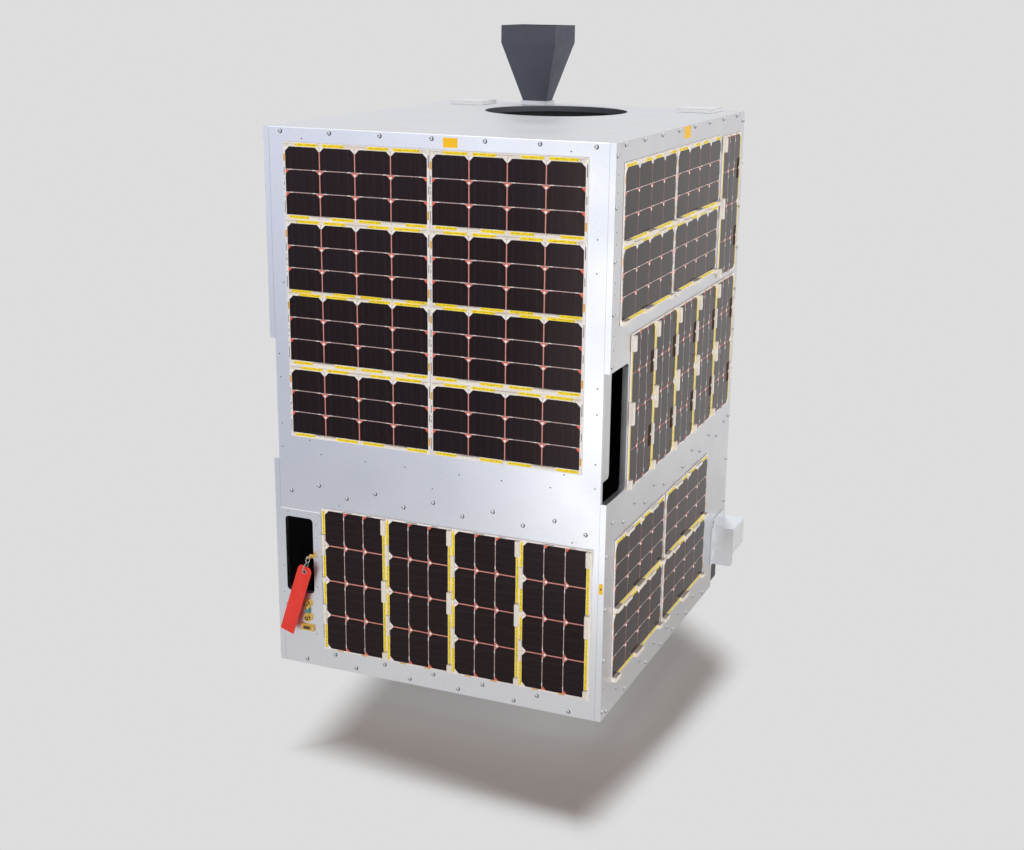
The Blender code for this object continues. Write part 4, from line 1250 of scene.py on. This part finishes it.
def headed_model(name, radius, height, sides):
    """A round head with a socket in it, its foot at the origin."""
    made = disc(name, (0, 0, height / 2), radius, height, "Z", sides)
    rim = height * RIM_SHARE
    edges_bevelled(made, lambda edge: min(v.co.z for v in edge.verts) > rim, height * HEAD_ROUND_SHARE, 2)
    picked(made, "FACE", lambda face: face.normal.z > STRAIGHT and face.calc_center_median().z > rim)
    bpy.ops.mesh.inset(thickness=radius * SOCKET_INSET_SHARE)
    bpy.ops.mesh.extrude_region_move(TRANSFORM_OT_translate={"value": (0, 0, -height * SOCKET_DEPTH_SHARE)})
    bpy.ops.object.mode_set(mode="OBJECT")
    with_material(made, screw_finish(), socket_finish())
    reach, low, high = radius * SOCKET_REACH_SHARE, height * SOCKET_LOW_SHARE, height * SOCKET_HIGH_SHARE
    inner_faces(made, lambda face: face.center.xy.length < reach and low < face.center.z < high, 1)
    return rounded_off(made, 40)


def on_wall(face, spots, out=0.0):
    return [face_matrix(face, along * MM, up * MM, out) for along, up in spots]


class SATELLITE_OT_screws(bpy.types.Operator):
    """Socket-head screws and threaded inserts round the walls"""

    bl_idname = "satellite.screws"
    bl_label = "Screws and inserts"

    def execute(self, context):
        screw = headed_model("screw_head", sizes().screw_radius, sizes().screw_height, 12)
        # Painted shadow: the dark disc under the head, set off down and to one side, stands for the head's
        # cast shadow
        shadow_disc = disc(
            "screw_washer", (*SHADOW_DISC_PLACE, SHADOW_DISC_THICK / 2), sizes().screw_radius * SHADOW_DISC_SHARE,
            SHADOW_DISC_THICK, "Z", 16,
        )
        screw = joined("screw_model", [screw, with_material(shadow_disc, socket_finish())])
        small = headed_model("small_screw_model", *SMALL_SCREW, 10)
        insert = headed_model("insert_model", sizes().insert_radius, INSERT_HEIGHT, 10)
        groups = [(face + "_screws", screw, on_wall(face, spots)) for face, spots, _inserts in WALL_SPOTS]
        groups += [(face + "_inserts", insert, on_wall(face, spots)) for face, _screws, spots in WALL_SPOTS]
        groups += [
            ("plate_screws", small, on_wall("front", PLATE_SCREWS, PLATE_FACE)),
            ("hood_screws", small, on_wall("right", HOOD_SCREWS, HOOD_FACE)),
        ]
        for name, model, places in groups:
            finished(copied(name, model, places), "body", "bright_aluminium")
        removed(screw, small, insert)
        return {"FINISHED"}


# Labels, left blank: name, face, left, bottom, right and top in millimetres

LABELS = (
    ("front_label", "front", 22, 1070.5, 49, 1087),
    ("side_label", "right", -26, 1068.5, 14, 1090.5),
)
MARKER = ("edge_marker", "front", 324, 306, 331, 326)
LABEL_THICK = 0.2 * MM
LABEL_CORNER = 0.8 * MM
MARKER_DOT_PLACE = (327.5 * MM, 316 * MM, 0.1 * MM)
MARKER_DOT_RADIUS = 1.6 * MM
MARKER_DOT_HEIGHT = 0.5 * MM


class SATELLITE_OT_labels(bpy.types.Operator):
    """Blank yellow labels near the walls' upper edges, and a small marker with a dot"""

    bl_idname = "satellite.labels"
    bl_label = "Blank labels"

    def execute(self, context):
        for name, face, left, low, right, high in LABELS + (MARKER,):
            made = block(name, (left * MM, low * MM, 0), (right * MM, high * MM, LABEL_THICK))
            edges_bevelled(made, lambda edge: runs_along(edge, 2), LABEL_CORNER, 2)
            with_material(made, label_finish())
            made.data.transform(face_matrix(face))
            finished(made, "body", "panel_aluminium")
        dot = dome("marker_dot", (0, 0), MARKER_DOT_RADIUS, MARKER_DOT_HEIGHT)
        with_material(dot, socket_finish())
        dot.data.transform(face_matrix("front", *MARKER_DOT_PLACE))
        finished(dot, "body", "panel_aluminium")
        return {"FINISHED"}


# Top deck

PATCH_LINE = 0.5 * MM
PATCH_RISE = 0.5 * MM
BARREL_WALL = 9.0 * MM
LENS_RING_INNER = 128 * MM
LENS_RING_GAP = 0.6 * MM
LENS_RING_LOW = 1056.0 * MM
LENS_RING_HIGH = 1059.5 * MM

# Baffles in the barrel: where they start, their pitch and thickness, and how far they reach in and out
BAFFLE_LOW = 1063 * MM
BAFFLE_PITCH = 5.0 * MM
BAFFLE_THICK = 0.8 * MM
BAFFLE_IN = 2.2 * MM
BAFFLE_OUT = 0.5 * MM
BAFFLE_TOP_MARGIN = 3 * MM


def turned_ring(name, centre, inner, outer, low, high, finish, sides=96):
    """A flat ring: a rod whose top is inset, and whose middle is taken out."""
    made = disc(name, (centre[0], centre[1], (low + high) / 2), outer, high - low, "Z", sides)
    picked(made, "FACE", lambda face: abs(face.normal.z) > STRAIGHT)
    bpy.ops.mesh.inset(thickness=(outer - inner) * math.cos(math.pi / sides))
    bpy.ops.mesh.bridge_edge_loops()
    bpy.ops.mesh.select_all(action="SELECT")
    bpy.ops.mesh.normals_make_consistent(inside=False)
    bpy.ops.object.mode_set(mode="OBJECT")
    return with_material(rounded_off(made, 35), finish)


class SATELLITE_OT_deck_pieces(bpy.types.Operator):
    """The ring round the lens, the barrel's baffles, and the faces of the patch antennas"""

    bl_idname = "satellite.deck_pieces"
    bl_label = "Top deck pieces"

    def execute(self, context):
        low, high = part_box("objective_lens")
        centre = (low + high) / 2
        barrel_low, barrel_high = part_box("telescope_barrel")
        bore = (barrel_high.x - barrel_low.x) / 2 - BARREL_WALL
        ring = turned_ring(
            "lens_ring", centre, LENS_RING_INNER, bore - LENS_RING_GAP, LENS_RING_LOW, LENS_RING_HIGH,
            black_finish(),
        )
        finished(ring, "body", "black_coating")
        grooves = []
        height = BAFFLE_LOW
        while height < barrel_high.z - BAFFLE_TOP_MARGIN:
            grooves.append(turned_ring(
                "baffle", centre, bore - BAFFLE_IN, bore + BAFFLE_OUT, height, height + BAFFLE_THICK,
                black_finish(),
            ))
            height += BAFFLE_PITCH
        finished(joined("barrel_baffles", grooves), "body", "black_coating")
        patches = []
        for side in ("left", "right"):
            low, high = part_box("patch_antenna_" + side)
            line = block("patch_line", (low.x + PATCH_LINE, low.y + PATCH_LINE, high.z - PATCH_LINE),
                         (high.x - PATCH_LINE, high.y - PATCH_LINE, high.z + PATCH_RISE / 3))
            with_material(line, socket_finish())
            top = block("patch_top", (low.x + 3 * PATCH_LINE, low.y + 3 * PATCH_LINE, high.z),
                        (high.x - 3 * PATCH_LINE, high.y - 3 * PATCH_LINE, high.z + PATCH_RISE))
            edges_bevelled(top, lambda edge: True, PATCH_RISE / 4)
            patches += [line, with_material(top, laminate_finish())]
        finished(joined("patch_faces", patches), "body", "white_laminate")
        return {"FINISHED"}


# Service plate, and the chamfers of it and the front panel, whose brighter metal is a painted highlight

EDGE_LINE = 1.5 * MM
EDGE_RISE = 1.0 * MM
EDGE_CHAMFER_SHARE = 0.9

# Key sockets: how far their middles lie from the piece's ends, and their rings' radius, height and finish
SOCKET_INSET = 8.5 * MM
SOCKET_RINGS = (
    (5.6 * MM, 0.7 * MM, gold_finish),
    (4.2 * MM, 1.1 * MM, socket_finish),
    (1.7 * MM, 1.8 * MM, gold_finish),
)
SLEEVE_RADIUS = 3.9 * MM
SLEEVE_LENGTH = 9.5 * MM
SLEEVE_ROUND = 0.8 * MM
SLEEVE_SINK = 3.6 * MM

# Data connector: half its insert's width and height, its pins in two rows, and its jack screws
INSERT_HALF = (7.2 * MM, 2.9 * MM)
INSERT_THICK = 0.5 * MM
INSERT_CORNER = 1.4 * MM
PIN_ROWS = ((1.2 * MM, 5), (-1.2 * MM, 4))
PIN_PITCH = 2.6 * MM
PIN_RADIUS = 0.5 * MM
PIN_HEIGHT = 1.1 * MM
JACK_SCREW = (1.9 * MM, 2.2 * MM)
JACK_SPAN = 11.8 * MM
JACK_SINK = 1.5 * MM


class SATELLITE_OT_service_pieces(bpy.types.Operator):
    """Socket faces and their sleeve, the connector's insert, pins and jack screws, and the chamfers with a
    painted highlight
    """

    bl_idname = "satellite.service_pieces"
    bl_label = "Service plate pieces"

    def execute(self, context):
        low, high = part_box("key_sockets")
        middle = (low + high) / 2
        face = -low.y
        pieces = []
        for up in (high.z - SOCKET_INSET, low.z + SOCKET_INSET):
            for radius, height, finish in SOCKET_RINGS:
                ring = with_material(dome("socket_face", (0, 0), radius, height, 20), finish())
                ring.data.transform(face_matrix("front", middle.x, up, face + FRONT_Y))
                pieces.append(ring)
        sleeve = disc("socket_sleeve", (0, 0, 0), SLEEVE_RADIUS, SLEEVE_LENGTH, "Z", 20)
        edges_bevelled(sleeve, lambda edge: not runs_along(edge, 2), SLEEVE_ROUND, 2)
        sleeve.data.transform(Matrix.Translation((middle.x, low.y + SLEEVE_SINK, middle.z)))
        pieces.append(with_material(rounded_off(sleeve), teal_finish()))
        finished(joined("socket_faces", pieces), "body", "gold_plating")
        # Chamfer strips: real chamfers that mirror the air, with brighter metal as a painted highlight
        edges = []
        for carrier, inset in (("service_plate", EDGE_LINE), ("front_panel", 0.0)):
            low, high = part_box(carrier)
            corner = (low.x + inset, low.y - EDGE_RISE, high.z - EDGE_LINE)
            edge = block("pale_edge", corner, (high.x, low.y, high.z))
            outer, near = high.z - EDGE_LINE / 2, low.y - EDGE_RISE / 2
            edges_bevelled(
                edge,
                lambda line: runs_along(line, 0)
                and all(v.co.z > outer and v.co.y < near for v in line.verts),
                EDGE_RISE * EDGE_CHAMFER_SHARE,
            )
            edges.append(with_material(edge, chamfer_highlight_finish()))
        finished(joined("pale_edges", edges), "body", "panel_aluminium")
        low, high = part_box("data_connector")
        middle = (low + high) / 2
        face = -low.y + FRONT_Y
        half_wide, half_tall = INSERT_HALF
        insert = rounded_block(
            "connector_insert", (-half_wide, -half_tall, 0), (half_wide, half_tall, INSERT_THICK),
            INSERT_CORNER, 0,
        )
        with_material(insert, socket_finish())
        pins = []
        for row, count in PIN_ROWS:
            for pin in range(count):
                place = ((pin - (count - 1) / 2) * PIN_PITCH, row)
                made = dome("connector_pin", place, PIN_RADIUS, PIN_HEIGHT, 8)
                pins.append(with_material(made, gold_finish()))
        whole = joined("connector_face", [insert] + pins)
        whole.data.transform(face_matrix("front", middle.x, middle.z, face))
        finished(whole, "body", "gold_plating")
        jack = headed_model("jack_model", *JACK_SCREW, 6)
        spots = (middle.x - JACK_SPAN, middle.x + JACK_SPAN)
        places = [face_matrix("front", along, middle.z, face - JACK_SINK) for along in spots]
        finished(copied("connector_jacks", jack, places), "body", "bright_aluminium")
        removed(jack)
        return {"FINISHED"}


# Pull tag

TAG_WIDTH = 30.0 * MM
TAG_LENGTH = 148.0 * MM
TAG_SHOULDER_WIDTH = 6.0 * MM
TAG_SHOULDER_DROP = 9.0 * MM
EYE_RADIUS = 3.2 * MM
EYE_DROP = 11.5 * MM
TAG_SHEET = 0.8 * MM
TAG_GRID = (16, 74)
EYE_HEM = 1.0 * MM
EYE_REACH = 6 * MM
EYE_RING = (0.5 * MM, 0.75 * MM)
CURL_WAVES = 1.6
CURL_SHARE = 0.6


def tag_axes():
    """The tag's width, length and outward directions, and its upper end's middle, read from the frame."""
    hinge = [joint for joint in frame["joints"] if joint["name"] == "tag_lift"][0]
    across = -Vector(hinge["axis"]).normalized()
    out = Vector((0, -1, 0))
    up = out.cross(across).normalized()
    points = [vert.co for vert in frame["nodes"]["pull_tag"].data.vertices]
    top = max(point.dot(up) for point in points)
    sides = [point.dot(across) for point in points]
    depth = [point.dot(out) for point in points]
    middle = across * (min(sides) + max(sides)) / 2 + up * top + out * (min(depth) + max(depth)) / 2
    return Matrix((across, up, out)).transposed().to_4x4(), middle


def tag_half_width(down):
    """Half the tag's width at a distance below its upper end."""
    share = min(1.0, down / TAG_SHOULDER_DROP)
    return TAG_WIDTH / 2 - TAG_SHOULDER_WIDTH * (1 - math.sin(share * math.pi / 2))


class SATELLITE_OT_tag(bpy.types.Operator):
    """The red woven tag, with a slight curl, and its metal eye"""

    bl_idname = "satellite.tag"
    bl_label = "Pull tag"

    def execute(self, context):
        turn, place = tag_axes()
        lie = Matrix.Translation(place) @ turn
        all_deselected()
        bpy.ops.mesh.primitive_grid_add(
            x_subdivisions=TAG_GRID[0], y_subdivisions=TAG_GRID[1], size=1, location=(0, -TAG_LENGTH / 2, 0)
        )
        bpy.context.object.scale = (TAG_WIDTH, TAG_LENGTH, 1)
        made = placed("pull_tag_cloth")
        mapped(made)
        eye = Vector((0, -EYE_DROP))
        picked(made, "FACE", lambda face: (face.calc_center_median().xy - eye).length < EYE_RADIUS)
        bpy.ops.mesh.delete(type="FACE")
        bpy.ops.object.mode_set(mode="OBJECT")
        for vert in made.data.vertices:
            away = vert.co.xy - eye
            if away.length < EYE_RADIUS + EYE_HEM:
                vert.co.xy = eye + away.normalized() * max(away.length, EYE_RADIUS)
            half = tag_half_width(-vert.co.y)
            if abs(vert.co.x) > EYE_REACH or half < TAG_WIDTH / 2:
                vert.co.x *= half / (TAG_WIDTH / 2)
            down = -vert.co.y / TAG_LENGTH
            vert.co.z = sizes().tag_curl * math.sin(down * math.pi * CURL_WAVES) * down * CURL_SHARE
        thick = made.modifiers.new("thick", "SOLIDIFY")
        thick.thickness = TAG_SHEET
        thick.offset = 0
        bpy.ops.object.modifier_apply(modifier="thick")
        made.data.transform(lie)
        rounded_off(with_material(made, tag_finish()), 50)
        finished(made, "tag", "red_cloth", "pull_tag")
        all_deselected()
        bpy.ops.mesh.primitive_torus_add(
            major_segments=28, minor_segments=8, major_radius=EYE_RADIUS + EYE_RING[0],
            minor_radius=EYE_RING[1], location=(0, -EYE_DROP, 0),
        )
        grommet = with_material(placed("tag_eye"), steel_finish())
        grommet.data.transform(lie)
        finished(rounded_off(grommet, 60), "tag", "wire_steel")
        return {"FINISHED"}


# Separation ring

RING_BOLTS = 24
RING_BOLT_CIRCLE = 199.0 * MM
RING_BOLT = (3.6 * MM, 3.2 * MM)
FLANGE_THICK = 8.0 * MM


class SATELLITE_OT_ring_bolts(bpy.types.Operator):
    """Bolts round both flanges of the separation ring"""

    bl_idname = "satellite.ring_bolts"
    bl_label = "Separation ring bolts"

    def execute(self, context):
        model = headed_model("bolt_model", *RING_BOLT, 12)
        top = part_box("separation_ring")[1].z
        places = []
        for step in range(RING_BOLTS):
            spin = Matrix.Rotation(math.tau * (step + 0.5) / RING_BOLTS, 4, "Z")
            out = spin @ Matrix.Translation((RING_BOLT_CIRCLE, 0, 0))
            turned = out @ Matrix.Rotation(math.pi, 4, "X")
            places.append(Matrix.Translation((0, 0, FLANGE_THICK)) @ out)
            places.append(Matrix.Translation((0, 0, top - FLANGE_THICK)) @ turned)
        finished(copied("ring_bolts", model, places), "body", "bright_aluminium")
        removed(model)
        return {"FINISHED"}


# Studio

FLOOR_REACH = 40.0
FLOOR_DROP = 0.2 * MM
FLOOR_TONE = (0.80, 0.795, 0.79, 1)
FLOOR_DUST = (0.76, 0.75, 0.74, 1)
SHADOW_MIDDLE = (0.15, -0.25, 0.0)
SHADOW_NEAR = 0.95
SHADOW_FAR = 1.7

# The shadow's soft left, right, front and rear edges: the shares of X and Y that make the distance along
# which it fades, and the distances at which it starts to fade and is gone
SHADOW_EDGES = (
    (-1.0, -0.14, 0.17, 0.29), (1.0, -0.137, 0.44, 0.535),
    (-0.16, -1.0, 0.545, 0.68), (1.0, 1.0, 0.43, 0.62),
)

# The even light from all round, which no mirror and no camera sees
AIR_TONE = (0.17, 0.125, 0.11, 1)

# What bare metal and glass mirror: grey close by, cool at the left, bright at the right, grey behind, darker
# close behind as painted shadow
NEAR_TONE = (0.66, 0.655, 0.65, 1)
COOL_TONE = (0.49, 0.51, 0.59, 1)
AWAY_TONE = (0.78, 0.82, 1.01, 1)
BRIGHT_TONE = (1.85, 1.87, 1.90, 1)
BESIDE_TONE = (0.78, 0.78, 0.80, 1)
SHADOWED_BEHIND_TONE = (0.50, 0.48, 0.46, 1)
BEHIND_TONE = (0.74, 0.725, 0.72, 1)
ABOVE_TONE = (0.82, 0.83, 0.85, 1)
OVERHEAD_TONE = (1.50, 1.50, 1.55, 1)

# Where the mirrored floor changes from one tone to the next, in metres ahead, slanted or behind
FLOOR_SLANT = 0.39
ACROSS_RANGE = (0.10, 0.54)
LEFT_RANGE = (3.0, 9.0)
RIGHT_RANGE = (1.0, 2.2)
FRONT_RANGE = (0.9, 1.6)
BEHIND_RANGE = (0.3, 1.6)
TURN_RANGE = (0.1, 0.5)

# Where the mirrored air changes, as shares of the direction's X, Y and Z
AIR_ACROSS = (-0.50, -0.30)
AIR_ALONG = (0.0, 0.4)
AIR_RISE = (0.05, 0.3)
AIR_RIGHT = (-0.05, 0.25)
AIR_OVERHEAD = (0.78, 0.95)

# Lamps that light everything alike: name, what they point along, spread in degrees, strength and colour
LAMPS = (
    ("top_sun", (0.12, -0.25, -1.09), 4.5, 2.19, (0.88, 0.957, 1.0)),
    ("front_sun", (-0.30, 1.0, -0.08), 35, 2.05, (1.0, 1.0, 1.0)),
    ("right_sun", (-1.0, 0.12, -0.08), 35, 1.65, (1.0, 1.0, 1.0)),
)


def mirrored_floor(tree, place):
    """Colour of the floor that a mirror sees, from its place ahead of the object or behind it, with a painted
    shadow close behind.
    """
    split = node(tree, "ShaderNodeSeparateXYZ", {"Vector": place})
    ahead = maths(tree, "MULTIPLY", split.outputs["Y"], -1.0)
    slanted = maths(tree, "ADD", split.outputs["X"], maths(tree, "MULTIPLY", ahead, FLOOR_SLANT))
    across = maths(tree, "POWER", part_way(tree, slanted, ACROSS_RANGE), 2.0)
    left = mixed(tree, part_way(tree, ahead, LEFT_RANGE), COOL_TONE, AWAY_TONE)
    right = mixed(tree, part_way(tree, slanted, RIGHT_RANGE), BRIGHT_TONE, BESIDE_TONE)
    front = mixed(tree, part_way(tree, ahead, FRONT_RANGE), NEAR_TONE, mixed(tree, across, left, right))
    # Painted shadow: the mirrored floor is darker close behind the object, where its shadow lies
    behind = mixed(tree, part_way(tree, split.outputs["Y"], BEHIND_RANGE), SHADOWED_BEHIND_TONE, BEHIND_TONE)
    return mixed(tree, part_way(tree, ahead, TURN_RANGE), behind, front)


def mirrored_air(tree, place):
    """Colour of the surroundings above the floor that a mirror sees, from its direction."""
    split = node(tree, "ShaderNodeSeparateXYZ", {"Vector": place})
    across = part_way(tree, split.outputs["X"], AIR_ACROSS)
    along = part_way(tree, split.outputs["Y"], AIR_ALONG)
    rise = part_way(tree, split.outputs["Z"], AIR_RISE)
    right = mixed(tree, part_way(tree, split.outputs["X"], AIR_RIGHT), BRIGHT_TONE, BESIDE_TONE)
    level = mixed(tree, along, mixed(tree, across, AWAY_TONE, right), BEHIND_TONE)
    overhead = part_way(tree, split.outputs["Z"], AIR_OVERHEAD)
    return mixed(tree, overhead, mixed(tree, rise, level, ABOVE_TONE), OVERHEAD_TONE)


def floor_finish():
    """Pale floor that keeps the shadow near the object and turns plain beyond its soft edges."""
    made, tree, shader = shader_material("studio_floor", Roughness=0.9, Specular_IOR_Level=0.0)
    place = object_place(tree)
    tone = node(tree, "ShaderNodeTexNoise", {"Vector": place, "Scale": 3.0, "Detail": 2})
    dusty = mixed(tree, ranged(tree, tone.outputs["Fac"], 0.0, 0.02), FLOOR_TONE, FLOOR_DUST)
    tree.links.new(dusty, shader.inputs["Base Color"])
    away = node(tree, "ShaderNodeVectorMath", {0: place, 1: SHADOW_MIDDLE}, operation="DISTANCE")
    far = part_way(tree, away.outputs["Value"], (SHADOW_NEAR, SHADOW_FAR))
    split = node(tree, "ShaderNodeSeparateXYZ", {"Vector": place})
    for across, along, start, end in SHADOW_EDGES:
        across_part = maths(tree, "MULTIPLY", split.outputs["X"], across)
        reach = maths(tree, "ADD", across_part, maths(tree, "MULTIPLY", split.outputs["Y"], along))
        faded = part_way(tree, reach, (start, end), interpolation_type="SMOOTHSTEP")
        far = maths(tree, "MAXIMUM", far, faded)
    path = node(tree, "ShaderNodeLightPath")
    plain = node(tree, "ShaderNodeEmission", {"Color": colours().floor})
    amount = maths(tree, "MULTIPLY", far, path.outputs["Is Camera Ray"])
    seen = node(tree, "ShaderNodeMixShader", {0: amount, 1: shader.outputs[0], 2: plain.outputs[0]})
    air = node(tree, "ShaderNodeEmission", {"Color": mirrored_floor(tree, place)})
    shown = {0: path.outputs["Is Glossy Ray"], 1: seen.outputs[0], 2: air.outputs[0]}
    both = node(tree, "ShaderNodeMixShader", shown)
    tree.links.new(both.outputs[0], tree.nodes["Material Output"].inputs["Surface"])
    return made


def world_finish(world):
    """Plain background for the camera, even light for the rest, and the surroundings that a mirror sees."""
    world.use_nodes = True
    tree = world.node_tree
    path = node(tree, "ShaderNodeLightPath")
    air = mirrored_air(tree, object_place(tree))
    lit = mixed(tree, path.outputs["Is Glossy Ray"], AIR_TONE, air)
    seen = maths(tree, "MAXIMUM", path.outputs["Is Camera Ray"], path.outputs["Is Transmission Ray"])
    tree.links.new(mixed(tree, seen, lit, colours().floor), tree.nodes["Background"].inputs["Color"])


def pointed(made, along):
    made.rotation_euler = Vector(along).to_track_quat("-Z", "Y").to_euler()


class SATELLITE_OT_stage(bpy.types.Operator):
    """The floor, the lamps, the world and the photograph's camera"""

    bl_idname = "satellite.stage"
    bl_label = "Studio"

    def execute(self, context):
        all_deselected()
        bpy.ops.mesh.primitive_plane_add(size=2 * FLOOR_REACH, location=(0, 0, -FLOOR_DROP))
        floor = placed("studio_floor")
        with_material(floor, floor_finish())
        for name, along, spread, strength, tint in LAMPS:
            data = bpy.data.lights.new(name, "SUN")
            data.angle, data.energy, data.color = math.radians(spread), strength, tint
            lamp = bpy.data.objects.new(name, data)
            context.scene.collection.objects.link(lamp)
            pointed(lamp, along)
            lamp.visible_glossy = False
        world = bpy.data.worlds.new("studio_air")
        context.scene.world = world
        world_finish(world)
        data = bpy.data.cameras.new("photo_camera")
        data.lens, data.sensor_width = CAMERA_LENS, CAMERA_SENSOR
        camera = bpy.data.objects.new("photo_camera", data)
        context.scene.collection.objects.link(camera)
        back_way = -CAMERA_LOOK.normalized()
        up = back_way.cross(CAMERA_RIGHT).normalized()
        right = up.cross(back_way).normalized()
        turn = Matrix((right, up, back_way)).transposed().to_4x4()
        camera.matrix_world = Matrix.Translation(CAMERA_PLACE) @ turn
        context.scene.camera = camera
        context.scene.view_settings.view_transform = "Standard"
        return {"FINISHED"}


# The panel, and running it all

OPERATORS = (
    SATELLITE_OT_finishes, SATELLITE_OT_boards, SATELLITE_OT_cells, SATELLITE_OT_links, SATELLITE_OT_screws,
    SATELLITE_OT_labels, SATELLITE_OT_deck_pieces, SATELLITE_OT_service_pieces, SATELLITE_OT_tag,
    SATELLITE_OT_ring_bolts, SATELLITE_OT_stage,
)


class SATELLITE_PT_panel(bpy.types.Panel):
    """Lists the satellite's pieces in the order they are made"""

    bl_idname = "SATELLITE_PT_panel"
    bl_label = "Satellite"
    bl_space_type = "VIEW_3D"
    bl_region_type = "UI"
    bl_category = "Satellite"

    def draw(self, context):
        for group in (context.scene.satellite_sizes, context.scene.satellite_colours):
            for key in group.bl_rna.properties.keys():
                if key not in ("rna_type", "name"):
                    self.layout.prop(group, key)
        for made in OPERATORS:
            self.layout.operator(made.bl_idname)


CLASSES = (SatelliteSizes, SatelliteColours) + OPERATORS + (SATELLITE_PT_panel,)


def register():
    for made in CLASSES:
        bpy.utils.register_class(made)
    bpy.types.Scene.satellite_sizes = bpy.props.PointerProperty(type=SatelliteSizes)
    bpy.types.Scene.satellite_colours = bpy.props.PointerProperty(type=SatelliteColours)


def unregister():
    del bpy.types.Scene.satellite_sizes
    del bpy.types.Scene.satellite_colours
    for made in reversed(CLASSES):
        bpy.utils.unregister_class(made)


def main():
    register()
    for made in OPERATORS:
        group, step = made.bl_idname.split(".")
        getattr(getattr(bpy.ops, group), step)()


if __name__ == "__main__":
    main()
